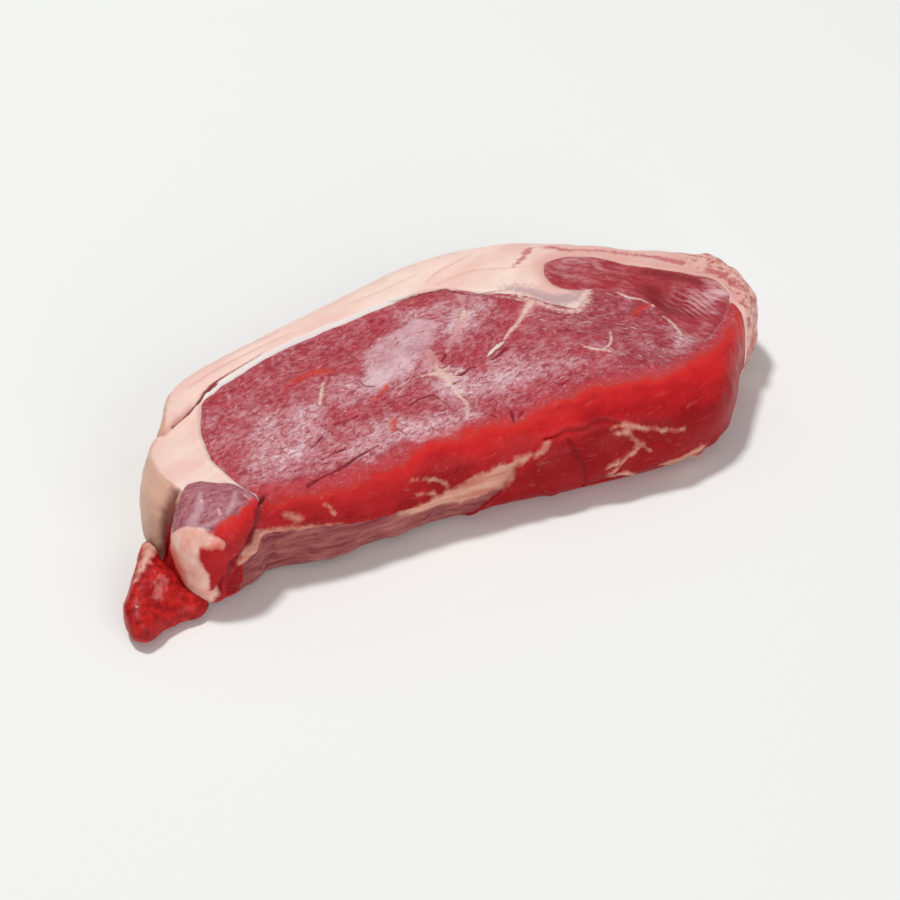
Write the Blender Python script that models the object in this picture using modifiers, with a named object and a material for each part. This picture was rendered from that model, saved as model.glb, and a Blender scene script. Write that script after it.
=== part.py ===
"""Raw sirloin steak: a thick slice of boneless loin, lying on its cut face.

One soft slab is lofted from the outline of its upper cut face, then sliced along
the seams between its layers: the eye muscle, the cap muscle, the fat that wraps the
back and the left end, and the tail with a lean block and a fat layer. The tongue of
lean at the tail's end is a second soft form that lies against the slab.

Run with: blender --background --python part.py
Units: constants in millimetres, the model in metres. +X runs along the steak to its
thick right end, +Y to the fat at the back, +Z up. The origin is the middle of the
underside's bounding box.
"""

import bmesh
import bpy
import numpy as np
from mathutils import Vector

MM = 0.001

# Driving dimensions.
THICKNESS = 28.0  # height of the cut slice
GAP = 0.3  # clearance between two layers that touch
SEAM_TENSION = 0.32  # how round a seam runs through its points
SLAB_VOXEL = 3.3  # edge length of the slab's skin
TONGUE_VOXEL = 2.5
SKIN_SMOOTHING = 3  # passes that take the steps out of the skin
CENTRE = (2.4, 0.1)  # moves the outlines below so that the origin is their middle

# Outline of the upper cut face, anticlockwise from the notch beside the tail:
# x, y, and how far the wall below bulges out past it.
CROWN = (
    (-66.5, -40.5, 1.0), (-56, -41, 4.0), (-42, -39, 4.5), (-29, -35, 6.5), (-15, -32, 8.5),
    (3, -31, 9.5), (20, -30, 12.5), (38, -28, 15.5), (55, -26.5, 17.0), (69, -22.5, 16.0),
    (81, -13.5, 7.5), (91, -3, 6.0), (98, 8, 8.0), (98.5, 19.5, 6.5), (91, 28, 5.0),
    (77, 33, 4.0), (64, 42, 3.5), (48, 51, 3.0), (30, 55, 3.0), (9, 53.5, 3.0),
    (-13, 43.5, 3.0), (-33, 36.5, 3.0), (-51, 29, 3.0), (-66, 22, 3.0), (-79, 17, 1.0),
    (-82, 5, 2.0), (-85, -5, 4.5), (-90, -17, 6.0), (-93, -27, 5.5), (-92, -33, 4.0),
    (-91, -39, 2.0), (-91.5, -45, 2.0), (-84.5, -50, 2.0), (-76, -47, 1.0), (-70, -44, 0.5),
)

# Section of the wall from the cut face down: share of the bulge, share of the height.
WALL = ((0.0, 1.0), (0.6, 0.95), (0.93, 0.73), (1.0, 0.4), (0.94, 0.11), (0.6, 0.0))
FACE_RING = 2.5  # width of the flat ring that holds the edge of a cut face

# Tongue of lean at the tail's end: outline at its widest, and height at each point.
TONGUE = (
    (-83, -46, 5), (-87, -51, 5), (-95, -52.5, 7), (-101, -55, 8), (-106.5, -59.5, 8),
    (-111, -56, 9), (-107.5, -44, 11), (-101.5, -34.5, 13.5), (-98, -26, 14), (-94, -22, 12),
    (-88, -30, 12), (-84, -38, 8),
)
TONGUE_FLARE = 2.5

# Seams, seen from above. Each is a closed loop that runs outside the slab where the
# layer reaches the wall.
EYE_SEAM = (
    (-66, -43), (-71.5, -33), (-75, -22), (-75, -10), (-73, -1), (-69.5, 6.5), (-61, 12),
    (-50, 18), (-36, 24), (-23, 27.5), (-9, 31.5), (5, 35), (15, 33.5), (23, 28.5),
    (34, 22), (40, 15), (46, 10), (52, 16), (60, 24), (74, 8), (84, 1), (91.5, -3),
    (93.5, -14), (94, -28), (94, -45), (80, -62), (20, -66), (-45, -64), (-61, -55),
)
CAP_SEAM = (
    (47, 36), (44, 30), (44.5, 24), (48, 20), (53, 18), (58, 16.5), (63, 12), (67, 6),
    (69, -2), (70, -10), (73, -18), (79, -15), (87, -7), (91.5, 1), (91, 9), (85, 15),
    (73, 23), (62, 33), (54, 37),
)
TAIL_LEAN_SEAM = (
    (-67, -43), (-71, -36), (-76.5, -31), (-81, -28.5), (-85, -29), (-88, -33),
    (-92, -39.5), (-87, -42), (-83, -45), (-80, -49), (-79, -56), (-72, -59), (-64, -52),
)
TAIL_FAT_SEAM = (
    (-89, -33.5), (-96, -35), (-103, -41), (-103, -54), (-95, -60), (-84, -61),
    (-77, -57), (-77, -49), (-81, -44), (-86, -40), (-88, -37),
)

# Sculpted relief of the upper cut face: x, y, radius and height of each soft swelling,
# or hollow where the height is negative.
SWELLINGS = (
    (-12, 4, 17, 0.9), (-40, -8, 26, 0.6), (30, -8, 24, 0.7), (61, 28, 15, 0.6),
    (74, 8, 9, -3.2), (77, 22, 9, 0.7), (20, 44, 14, 0.6), (-74, 8, 7, -1.6),
    (-3, -20, 10, -0.7), (48, 4, 11, -0.6),
)
TAIL_EDGE = (-78, -40)  # where the cut face starts to fall away to the tail's end
TAIL_FALL = 0.42  # slope of that fall

COLOURS = {
    "eye": (0.42, 0.055, 0.075),
    "cap_muscle": (0.30, 0.035, 0.05),
    "fat_cap": (0.84, 0.62, 0.52),
    "tail_lean": (0.40, 0.05, 0.07),
    "tail_fat": (0.82, 0.52, 0.44),
    "tail_tongue": (0.42, 0.02, 0.025),
}


def clear_scene():
    """Remove every object from the open scene."""
    for obj in list(bpy.data.objects):
        bpy.data.objects.remove(obj)


def collection(name):
    """Make a collection in the scene."""
    made = bpy.data.collections.new(name)
    bpy.context.scene.collection.children.link(made)
    return made


def material(name, colour):
    """Make the moist, uneven meat or fat of one layer."""
    made = bpy.data.materials.new(name)
    made.use_nodes = True
    shader = made.node_tree.nodes["Principled BSDF"]
    shader.inputs["Base Color"].default_value = (*colour, 1.0)
    shader.inputs["Roughness"].default_value = 0.38
    shader.inputs["Metallic"].default_value = 0.0
    return made


def outward_normals(points):
    """Unit normals, in plan, that point out of an anticlockwise loop."""
    along = np.roll(points, -1, axis=0) - np.roll(points, 1, axis=0)
    normals = np.stack((along[:, 1], -along[:, 0]), axis=1)
    return normals / np.linalg.norm(normals, axis=1, keepdims=True)


def anticlockwise(points):
    """The loop in anticlockwise order."""
    following = np.roll(points, -1, axis=0)
    area = np.sum(points[:, 0] * following[:, 1] - points[:, 1] * following[:, 0])
    return points if area > 0 else points[::-1]


def smooth_loop(points, steps=4):
    """Cardinal spline through the points of a closed loop."""
    following = np.roll(points, -1, axis=0)
    leaving = (following - np.roll(points, 1, axis=0)) * SEAM_TENSION
    arriving = np.roll(leaving, -1, axis=0)
    spans = []
    for t in np.linspace(0.0, 1.0, steps, endpoint=False):
        rise = t * t * (3.0 - 2.0 * t)
        spans.append(points * (1.0 - rise) + following * rise
                     + leaving * t * (1.0 - t) ** 2 - arriving * t * t * (1.0 - t))
    return np.stack(spans, axis=1).reshape(-1, 2)


def soft_cage(name, outline, flares, heights):
    """Loft a closed cage from the outline: a cut face, a bulging wall, an underside."""
    normals = outward_normals(outline)
    lowest_face, highest_face = (WALL[-1][0], 0.0), WALL[0]
    rings = [(highest_face, -FACE_RING)]
    rings += [(level, 0.0) for level in WALL]
    rings += [(lowest_face, -FACE_RING)]
    mesh = bmesh.new()
    loops = []
    for (bulge, height), inset in rings:
        plan = outline + normals * (flares * bulge + inset)[:, None]
        loops.append([mesh.verts.new((x * MM, y * MM, z * height * MM))
                      for (x, y), z in zip(plan, heights)])
    count = len(outline)
    for upper, lower in zip(loops, loops[1:]):
        for i in range(count):
            j = (i + 1) % count
            mesh.faces.new((upper[i], lower[i], lower[j], upper[j]))
    mesh.faces.new(loops[0])
    mesh.faces.new(loops[-1][::-1])
    data = bpy.data.meshes.new(name)
    mesh.to_mesh(data)
    mesh.free()
    return bpy.data.objects.new(name, data)


def evaluated_mesh(obj):
    """The object's mesh with its modifiers applied."""
    graph = bpy.context.evaluated_depsgraph_get()
    return bpy.data.meshes.new_from_object(obj.evaluated_get(graph))


def soft_form(name, outline, flares, heights, voxel, guides):
    """A soft form with an even skin: the cage, subdivided and remeshed."""
    cage = soft_cage(name + "_cage", outline, flares, heights)
    guides.objects.link(cage)
    rounding = cage.modifiers.new("rounding", "SUBSURF")
    rounding.levels = rounding.render_levels = 3
    skin = cage.modifiers.new("skin", "REMESH")
    skin.mode = "VOXEL"
    skin.voxel_size = voxel * MM
    evenness = cage.modifiers.new("evenness", "SMOOTH")
    evenness.factor = 0.5
    evenness.iterations = SKIN_SMOOTHING
    data = evaluated_mesh(cage)
    data.name = name
    bpy.data.objects.remove(cage)
    return data


def fade(distance, radius):
    """1 at the centre, 0 from the radius on, with a smooth flank."""
    share = np.clip(1.0 - distance / radius, 0.0, 1.0)
    return share * share * (3.0 - 2.0 * share)


def sculpt(data, move):
    """Move the points of a mesh by a function of their places in millimetres."""
    places = np.empty(len(data.vertices) * 3)
    data.vertices.foreach_get("co", places)
    moved = move(places.reshape(-1, 3) / MM) * MM
    data.vertices.foreach_set("co", moved.ravel())
    data.update()


def slab_relief(points):
    """Swellings, hollows and the fall of the tail on the upper cut face."""
    x, y, z = points.T
    upper = np.clip((z / THICKNESS - 0.35) / 0.6, 0.0, 1.0)
    lift = np.zeros(len(points))
    for centre_x, centre_y, radius, height in SWELLINGS:
        plan = np.hypot(x - CENTRE[0] - centre_x, y - CENTRE[1] - centre_y)
        lift += height * fade(plan, radius)
    toward_tail = (TAIL_EDGE[0] + CENTRE[0] - x) * 0.6 + (TAIL_EDGE[1] + CENTRE[1] - y) * 0.8
    lift -= TAIL_FALL * np.clip(toward_tail, 0.0, 14.0)
    moved = points.copy()
    moved[:, 2] += lift * upper
    return flatten_underside(moved)


def flatten_underside(points):
    """Lay the lowest part of the skin flat on the board."""
    flat = points.copy()
    lowest = flat[:, 2].min()
    flat[:, 2] -= lowest
    flat[flat[:, 2] < 0.35, 2] = 0.0
    return flat


def prism(name, loop, cutters, grown=0.0):
    """A seam's loop, grown by a clearance and extruded through the slab."""
    outline = smooth_loop(anticlockwise(np.array(loop, dtype=float) + CENTRE))
    outline = outline + outward_normals(outline) * grown
    curve = bpy.data.curves.new(name, "CURVE")
    curve.dimensions = "2D"
    curve.fill_mode = "BOTH"
    curve.extrude = THICKNESS * MM
    spline = curve.splines.new("POLY")
    spline.points.add(len(outline) - 1)
    for point, (x, y) in zip(spline.points, outline):
        point.co = (x * MM, y * MM, 0.0, 1.0)
    spline.use_cyclic_u = True
    drawn = bpy.data.objects.new(name + "_curve", curve)
    cutters.objects.link(drawn)
    data = evaluated_mesh(drawn)
    bpy.data.objects.remove(drawn)
    data.name = name
    return cutter(name, data, cutters, height=THICKNESS * 0.5)


def cutter(name, data, cutters, height=0.0):
    """A hidden guide object around a closed mesh, with its caps welded."""
    mesh = bmesh.new()
    mesh.from_mesh(data)
    bmesh.ops.remove_doubles(mesh, verts=mesh.verts, dist=1e-6)
    bmesh.ops.recalc_face_normals(mesh, faces=mesh.faces)
    mesh.to_mesh(data)
    mesh.free()
    guide = bpy.data.objects.new(name, data)
    guide.location = Vector((0.0, 0.0, height * MM))
    guide.hide_render = True
    guide.display_type = "WIRE"
    cutters.objects.link(guide)
    return guide


def layer(name, data, parts, cuts):
    """One layer of the steak: a copy of the form, cut by a list of guides."""
    obj = bpy.data.objects.new(name, data.copy())
    obj.data.name = name
    obj.data.materials.clear()
    obj.data.materials.append(material(name, COLOURS[name]))
    obj.data.shade_smooth()
    parts.objects.link(obj)
    for guide, operation in cuts:
        cut = obj.modifiers.new(f"{operation.lower()}_{guide.name}", "BOOLEAN")
        cut.operation = operation
        cut.solver = "EXACT"
        cut.object = guide
    return obj


def slab_mesh(guides):
    """The whole slice without the tongue."""
    outline = np.array([(x, y) for x, y, _ in CROWN], dtype=float) + CENTRE
    flares = np.array([bulge for _, _, bulge in CROWN])
    heights = np.full(len(CROWN), THICKNESS)
    data = soft_form("slab", outline, flares, heights, SLAB_VOXEL, guides)
    sculpt(data, slab_relief)
    return data


def tongue_mesh(guides):
    """The tongue of lean before the slab's shape is cut out of it."""
    outline = np.array([(x, y) for x, y, _ in TONGUE], dtype=float)[::-1] + CENTRE
    heights = np.array([height for _, _, height in TONGUE], dtype=float)[::-1]
    flares = np.full(len(TONGUE), TONGUE_FLARE)
    outline = outline - outward_normals(outline) * TONGUE_FLARE
    data = soft_form("tongue", outline, flares, heights, TONGUE_VOXEL, guides)
    sculpt(data, flatten_underside)
    return data


def swollen(name, data, cutters):
    """A guide with the shape of a mesh, grown by the clearance."""
    grown = data.copy()
    grown.name = name
    places = np.empty(len(grown.vertices) * 3)
    normals = np.empty(len(grown.vertices) * 3)
    grown.vertices.foreach_get("co", places)
    grown.vertices.foreach_get("normal", normals)
    grown.vertices.foreach_set("co", places + normals * GAP * MM * 1.3)
    grown.update()
    return cutter(name, grown, cutters)


def build():
    """Model the steak: one object for each layer, in one collection."""
    clear_scene()
    parts = collection("sirloin_steak")
    cutters = collection("guides")
    slab = slab_mesh(cutters)
    tongue = tongue_mesh(cutters)

    eye_seam = prism("eye_seam", EYE_SEAM, cutters)
    eye_room = prism("eye_room", EYE_SEAM, cutters, GAP)
    cap_seam = prism("cap_seam", CAP_SEAM, cutters)
    cap_room = prism("cap_room", CAP_SEAM, cutters, GAP)
    lean_seam = prism("tail_lean_seam", TAIL_LEAN_SEAM, cutters)
    lean_room = prism("tail_lean_room", TAIL_LEAN_SEAM, cutters, GAP)
    fat_seam = prism("tail_fat_seam", TAIL_FAT_SEAM, cutters)
    fat_room = prism("tail_fat_room", TAIL_FAT_SEAM, cutters, GAP)
    slab_room = swollen("slab_room", slab, cutters)

    layer("eye", slab, parts, [(eye_seam, "INTERSECT"), (cap_room, "DIFFERENCE")])
    layer("cap_muscle", slab, parts, [(cap_seam, "INTERSECT")])
    layer("tail_lean", slab, parts, [(lean_seam, "INTERSECT"), (eye_room, "DIFFERENCE")])
    layer("tail_fat", slab, parts, [(fat_seam, "INTERSECT"), (lean_room, "DIFFERENCE")])
    layer("fat_cap", slab, parts, [(eye_room, "DIFFERENCE"), (cap_room, "DIFFERENCE"),
                                   (lean_room, "DIFFERENCE"), (fat_room, "DIFFERENCE")])
    layer("tail_tongue", tongue, parts, [(slab_room, "DIFFERENCE")])


build()
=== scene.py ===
"""Looks of a raw sirloin steak that lies on its lower cut face.

The fine skin of the whole slice is made once, from the solids of the frame. It gets its
relief and its painted fields there, so that both run on across the layers, and it is
then cut into one closed piece for each layer along the seams between the solids. The
tongue at the tail's end and the loose threads and chip of sinew are pieces of their own.

Sizes are in millimetres, until a mesh is written in metres.
"""

import logging
import math
from dataclasses import dataclass, field
from enum import Enum

import bmesh
import bpy
import numpy as np
from mathutils import Matrix, Vector, kdtree


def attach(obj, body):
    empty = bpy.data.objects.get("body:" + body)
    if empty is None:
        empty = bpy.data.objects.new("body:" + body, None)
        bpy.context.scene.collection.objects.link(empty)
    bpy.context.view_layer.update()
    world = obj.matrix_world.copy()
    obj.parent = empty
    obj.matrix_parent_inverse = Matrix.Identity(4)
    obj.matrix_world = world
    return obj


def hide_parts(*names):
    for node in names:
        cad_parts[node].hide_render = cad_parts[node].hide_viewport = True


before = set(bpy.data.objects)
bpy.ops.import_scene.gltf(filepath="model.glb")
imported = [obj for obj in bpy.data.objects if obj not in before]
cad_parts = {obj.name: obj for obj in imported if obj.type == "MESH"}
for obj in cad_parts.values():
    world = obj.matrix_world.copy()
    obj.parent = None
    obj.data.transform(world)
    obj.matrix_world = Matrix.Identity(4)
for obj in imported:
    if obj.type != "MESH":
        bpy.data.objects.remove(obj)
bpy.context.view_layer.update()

log = logging.getLogger("steak")

MM = 0.001
FAR = -6.0  # value of a painted field away from its marks, in millimetres

Point = tuple[float, ...]
Colour = tuple[float, float, float, float]


class Layer(Enum):
    """The layers of the steak, by the names of their solids."""

    CAP = "cap_muscle"
    EYE = "eye"
    TAIL_LEAN = "tail_lean"
    TAIL_FAT = "tail_fat"
    FAT = "fat_cap"
    TONGUE = "tail_tongue"


class Slot(Enum):
    """Slot names of the finishes."""

    LEAN = "lean"
    CAP_LEAN = "cap_lean"
    FAT = "fat"
    TAIL_LEAN = "tail_lean"
    TAIL_FAT = "tail_fat"
    TONGUE_LEAN = "tongue_lean"
    SINEW = "sinew"


def srgb(code: str) -> Colour:
    """Linear colour of an sRGB hex code.

    Args:
        code: Six hex digits after a hash.

    Returns:
        Linear red, green and blue, and an alpha of 1.
    """
    channels = [int(code[i:i + 2], 16) / 255.0 for i in (1, 3, 5)]
    linear = [c / 12.92 if c <= 0.04045 else ((c + 0.055) / 1.055) ** 2.4 for c in channels]
    return (*linear, 1.0)


def step(low: float, high: float, value: np.ndarray) -> np.ndarray:
    """Smooth rise from 0 at low to 1 at high."""
    share = np.clip((value - low) / (high - low), 0.0, 1.0)
    return share * share * (3.0 - 2.0 * share)


def bump(share: np.ndarray) -> np.ndarray:
    """1 where the share is 0, falling smoothly to 0 where it is 1 or more."""
    return step(0.0, 1.0, 1.0 - np.abs(share))


def turned(points: np.ndarray, degrees: float, stretch: float = 1.0) -> np.ndarray:
    """Points in axes turned about Z, with the first axis shortened.

    Args:
        points: Points in millimetres.
        degrees: Direction of the first axis, anticlockwise from +X.
        stretch: How many times longer than wide a pattern made there looks.

    Returns:
        The points as (along / stretch, across, z).
    """
    angle = math.radians(degrees)
    x, y, z = points.T
    along = x * math.cos(angle) + y * math.sin(angle)
    across = y * math.cos(angle) - x * math.sin(angle)
    return np.stack((along / stretch, across, z), axis=1)


class Noise:
    """Smooth noise on a lattice of random values, the same on every run."""

    def __init__(self, seed: int) -> None:
        """Draw the lattice.

        Args:
            seed: Start of the random draw.
        """
        rng = np.random.default_rng(seed)
        self.values = rng.uniform(-1.0, 1.0, 512)
        self.order = rng.permutation(512)

    def at(self, points: np.ndarray) -> np.ndarray:
        """Noise from -1 to 1 with a lattice spacing of 1."""
        cell = np.floor(points).astype(np.int64)
        inside = points - cell
        weight = inside ** 3 * (inside * (inside * 6.0 - 15.0) + 10.0)
        total = np.zeros(len(points))
        for i in (0, 1):
            for j in (0, 1):
                for k in (0, 1):
                    key = self.order[(cell[:, 0] + i) & 511]
                    key = self.order[(key + cell[:, 1] + j) & 511]
                    key = self.order[(key + cell[:, 2] + k) & 511]
                    share = (weight[:, 0] if i else 1.0 - weight[:, 0])
                    share = share * (weight[:, 1] if j else 1.0 - weight[:, 1])
                    share = share * (weight[:, 2] if k else 1.0 - weight[:, 2])
                    total += share * self.values[key]
        return total

    def layered(self, points: np.ndarray, size: float, octaves: int = 3) -> np.ndarray:
        """Noise with finer noise on top.

        Args:
            points: Points in millimetres.
            size: Size of the coarsest lumps in millimetres.
            octaves: Number of layers, each half the size and height of the last.

        Returns:
            Values of about -1 to 1.
        """
        total = np.zeros(len(points))
        for octave in range(octaves):
            shift = 17.3 * octave
            total += self.at(points * (2.0 ** octave / size) + shift) * 0.5 ** octave
        return total

    def ridged(self, points: np.ndarray, size: float) -> np.ndarray:
        """Sharp valleys between rounded ridges, from -1 to 1."""
        return 2.0 * np.sqrt(np.abs(self.at(points / size)) + 0.003) - 1.0


def dense_line(points: np.ndarray, spacing: float) -> np.ndarray:
    """Points along a smooth line through the given ones.

    Args:
        points: Rows of coordinates, and of anything else that changes along the line.
        spacing: Distance between the new points.

    Returns:
        Rows along a Catmull-Rom spline.
    """
    padded = np.vstack((2 * points[0] - points[1], points, 2 * points[-1] - points[-2]))
    rows = []
    for before, start, end, after in zip(padded, padded[1:], padded[2:], padded[3:]):
        count = max(2, int(np.linalg.norm(end[:2] - start[:2]) / spacing) + 1)
        for t in np.linspace(0.0, 1.0, count, endpoint=False):
            leaving, arriving = (end - before) * 0.5, (after - start) * 0.5
            rise = t * t * (3.0 - 2.0 * t)
            rows.append(start * (1.0 - rise) + end * rise
                        + leaving * t * (1.0 - t) ** 2 - arriving * t * t * (1.0 - t))
    rows.append(points[-1])
    return np.array(rows)


def nearest_on_line(points: np.ndarray, line: np.ndarray) -> tuple[np.ndarray, np.ndarray]:
    """Distance to a chain of points, and the place along it.

    Args:
        points: Points, one a row.
        line: The chain, with the same number of coordinates.

    Returns:
        The distances, and the place as an index with its fraction.
    """
    best = np.full(len(points), 1e9)
    place = np.zeros(len(points))
    for index, (start, end) in enumerate(zip(line, line[1:])):
        run = end - start
        share = np.clip((points - start) @ run / max(run @ run, 1e-12), 0.0, 1.0)
        distance = np.linalg.norm(points - start - share[:, None] * run, axis=1)
        closer = distance < best
        best[closer] = distance[closer]
        place[closer] = index + share[closer]
    return best, place


def linked(name: str, data: bpy.types.Mesh) -> bpy.types.Object:
    """An object in the scene with that mesh."""
    made = bpy.data.objects.new(name, data)
    bpy.context.scene.collection.objects.link(made)
    return made


def applied(obj: bpy.types.Object) -> bpy.types.Mesh:
    """The object's mesh with its modifiers applied. The object itself is removed."""
    graph = bpy.context.evaluated_depsgraph_get()
    data = bpy.data.meshes.new_from_object(obj.evaluated_get(graph))
    bpy.data.objects.remove(obj)
    return data


def read_points(data: bpy.types.Mesh, what: str = "co") -> np.ndarray:
    """Places or normals of a mesh's points, one a row."""
    values = np.empty(len(data.vertices) * 3)
    data.vertices.foreach_get(what, values)
    return values.reshape(-1, 3)


def write_points(data: bpy.types.Mesh, places: np.ndarray) -> None:
    """Set the places of a mesh's points."""
    data.vertices.foreach_set("co", places.ravel())
    data.update()


def solid(layer: Layer) -> bmesh.types.BMesh:
    """A layer's solid from the frame, with its points welded."""
    mesh = bmesh.new()
    mesh.from_mesh(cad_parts[layer.value].data)
    bmesh.ops.remove_doubles(mesh, verts=mesh.verts, dist=2e-6)
    bmesh.ops.recalc_face_normals(mesh, faces=mesh.faces)
    return mesh


@dataclass(frozen=True)
class Trace:
    """A line drawn on the steak.

    Points with two coordinates lie on the upper cut face. Points with three lie on the
    wall, and are moved to the nearest skin.
    """

    points: tuple[Point, ...]
    widths: tuple[float, ...]  # half the width, spread evenly along the line

    def chain(self, tree: kdtree.KDTree | None) -> tuple[np.ndarray, np.ndarray]:
        """The line as closely spaced points, and half its width at each."""
        corners = np.array(self.points, dtype=float)
        line = dense_line(corners, 0.8) if len(corners) > 1 else corners
        if line.shape[1] == 3 and tree is not None:
            line = np.array([tree.find(Vector(p))[0] for p in line])
        spread = np.linspace(0.0, 1.0, len(self.widths))
        widths = np.interp(np.linspace(0.0, 1.0, len(line)), spread, self.widths)
        if len(line) == 1:
            line, widths = np.repeat(line, 2, axis=0), np.repeat(widths, 2)
        return line, widths


class Skin:
    """The fine skin of the slice, with its relief and its painted fields."""

    def __init__(self, data: bpy.types.Mesh) -> None:
        """Read the smooth skin.

        Args:
            data: The skin's mesh, in metres.
        """
        self.data = data
        self.rest = read_points(data) / MM
        self.normals = read_points(data, "normal")
        self.moved = self.rest.copy()
        self.fields: dict[str, np.ndarray] = {}
        self.tree = kdtree.KDTree(len(self.rest))
        for index, place in enumerate(self.rest):
            self.tree.insert(place, index)
        self.tree.balance()
        x, y, z = self.rest.T
        self.top = step(0.35, 0.8, self.normals[:, 2]) * step(12.0, 18.0, z)
        self.under = step(0.6, 0.9, -self.normals[:, 2])
        self.wall = (1.0 - self.top) * (1.0 - self.under)

    def inside(self, trace: Trace, reach: float) -> tuple[np.ndarray, np.ndarray, np.ndarray]:
        """Which points lie near a trace, and how deep they lie in it.

        Args:
            trace: The line.
            reach: How far from the line to look.

        Returns:
            Indices of the points, half width minus distance, and half width there.
        """
        line, widths = trace.chain(self.tree)
        flat = line.shape[1] == 2
        places = self.rest[:, :2] if flat else self.rest
        low, high = line.min(axis=0) - reach, line.max(axis=0) + reach
        near = np.all((places > low) & (places < high), axis=1)
        if flat:
            near &= (self.normals[:, 2] > 0.2) & (self.rest[:, 2] > 14.0)
        chosen = np.nonzero(near)[0]
        distance, place = nearest_on_line(places[chosen], line)
        half = np.interp(place, np.arange(len(widths)), widths)
        return chosen, half - distance, half

    def mark(self, name: str, traces: tuple[Trace, ...], lift: float = 0.0,
             soft: float = 1.0) -> None:
        """Paint traces into a field, and raise or sink the skin along them.

        Args:
            name: The field. Inside a trace it is positive, in millimetres.
            traces: The lines.
            lift: Height along the middle of each line, or depth if negative.
            soft: Width of the flank of the lift, as a share of half the line's width.
        """
        values = self.fields.setdefault(name, np.full(len(self.rest), FAR))
        height = np.zeros(len(self.rest))
        for trace in traces:
            reach = max(trace.widths) * (1.0 + soft) + 3.0
            chosen, depth, half = self.inside(trace, reach)
            values[chosen] = np.maximum(values[chosen], depth)
            share = np.clip(-depth / np.maximum(half * soft, 1e-6) * 0.5 + 0.5, 0.0, 1.0)
            height[chosen] = np.maximum(height[chosen], step(0.0, 1.0, 1.0 - share))
        if lift:
            self.lift(height * lift)

    def crest(self, traces: tuple[Trace, ...], height: float) -> None:
        """Raise a sharp edge along traces, as high as given at their middle."""
        raised = np.zeros(len(self.rest))
        for trace in traces:
            chosen, depth, half = self.inside(trace, max(trace.widths) + 1.0)
            share = np.clip(depth / np.maximum(half, 1e-6), 0.0, 1.0)
            raised[chosen] = np.maximum(raised[chosen], share ** 1.3)
        self.lift(raised * height)

    def swell(self, centre: Point, radius: float, height: float) -> None:
        """Raise a round swelling on the skin, or sink a dent if the height is negative.

        Args:
            centre: Its middle. With two coordinates it lies on the upper cut face.
            radius: Where it ends.
            height: How far its middle rises.
        """
        if len(centre) == 2:
            distance = np.linalg.norm(self.rest[:, :2] - np.array(centre), axis=1)
            self.lift(bump(distance / radius) * height * self.top)
        else:
            distance = np.linalg.norm(self.rest - np.array(centre), axis=1)
            self.lift(bump(distance / radius) * height)

    def lift(self, amount: np.ndarray) -> None:
        """Move the skin along its normals by an amount in millimetres."""
        self.moved += self.normals * amount[:, None]

    def finish(self) -> None:
        """Write the moved skin back, with its underside flat on the board."""
        places = self.moved
        low = self.rest[:, 2] < 0.6
        places[low, 2] = np.minimum(places[low, 2], self.rest[low, 2])
        places[:, 2] = np.maximum(places[:, 2], 0.0)
        write_points(self.data, places * MM)
        self.tree = kdtree.KDTree(len(places))
        for index, place in enumerate(places):
            self.tree.insert(place, index)
        self.tree.balance()

    def give(self, data: bpy.types.Mesh, names: tuple[str, ...]) -> None:
        """Copy fields to a piece that was cut from the skin.

        Args:
            data: The piece's mesh.
            names: The fields its finish needs.
        """
        places = read_points(data) / MM
        source = np.array([self.tree.find(Vector(p))[1] for p in places])
        for name in names:
            values = self.fields[name][source].astype(np.float32)
            data.attributes.new(name, "FLOAT", "POINT").data.foreach_set("value", values)


@dataclass
class Slice:
    """The thick slice without the tongue: one skin, later cut into layers."""

    voxel: float = 0.9  # edge length before the upper face and wall are subdivided
    growth: float = 0.25  # closes the gap between the solids
    smoothing: int = 16
    layers: tuple[Layer, ...] = (Layer.CAP, Layer.EYE, Layer.TAIL_LEAN, Layer.TAIL_FAT, Layer.FAT)

    def skin(self) -> Skin:
        """Join the solids, wrap them in an even skin and smooth their facets away.

        Returns:
            The smooth skin, fine on the upper face and the wall.
        """
        joined = bmesh.new()
        for layer in self.layers:
            part = solid(layer)
            part.normal_update()
            normals = [vert.normal.copy() for vert in part.verts]
            for vert, normal in zip(part.verts, normals):
                vert.co += normal * (self.growth * MM)
            grown = bpy.data.meshes.new("grown")
            part.to_mesh(grown)
            part.free()
            joined.from_mesh(grown)
            bpy.data.meshes.remove(grown)
        data = bpy.data.meshes.new("slice")
        joined.to_mesh(data)
        joined.free()
        obj = linked("slice", data)
        wrap = obj.modifiers.new("wrap", "REMESH")
        wrap.mode = "VOXEL"
        wrap.voxel_size = self.voxel * 1.0 * MM
        even = obj.modifiers.new("even", "SMOOTH")
        even.factor = 0.5
        even.iterations = self.smoothing
        data = applied(obj)
        self.refine(data)
        places = read_points(data) - read_points(data, "normal") * (self.growth * MM)
        places[:, 2] = np.maximum(places[:, 2] - places[:, 2].min(), 0.0)
        write_points(data, places)
        return Skin(data)

    def refine(self, data: bpy.types.Mesh) -> None:
        """Halve the edges of every face but those of the flat underside."""
        mesh = bmesh.new()
        mesh.from_mesh(data)
        mesh.normal_update()
        shown = [face for face in mesh.faces
                 if face.normal.z > -0.9 or face.calc_center_median().z > 1.2 * MM]
        edges = list({edge for face in shown for edge in face.edges})
        bmesh.ops.subdivide_edges(mesh, edges=edges, cuts=1, use_grid_fill=True, smooth=0.0)
        mesh.to_mesh(data)
        mesh.free()
        obj = linked("refined", data.copy())
        even = obj.modifiers.new("even", "SMOOTH")
        even.factor = 0.5
        even.iterations = 3
        smooth = applied(obj)
        write_points(data, read_points(smooth))
        bpy.data.meshes.remove(smooth)
        data.update()


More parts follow.
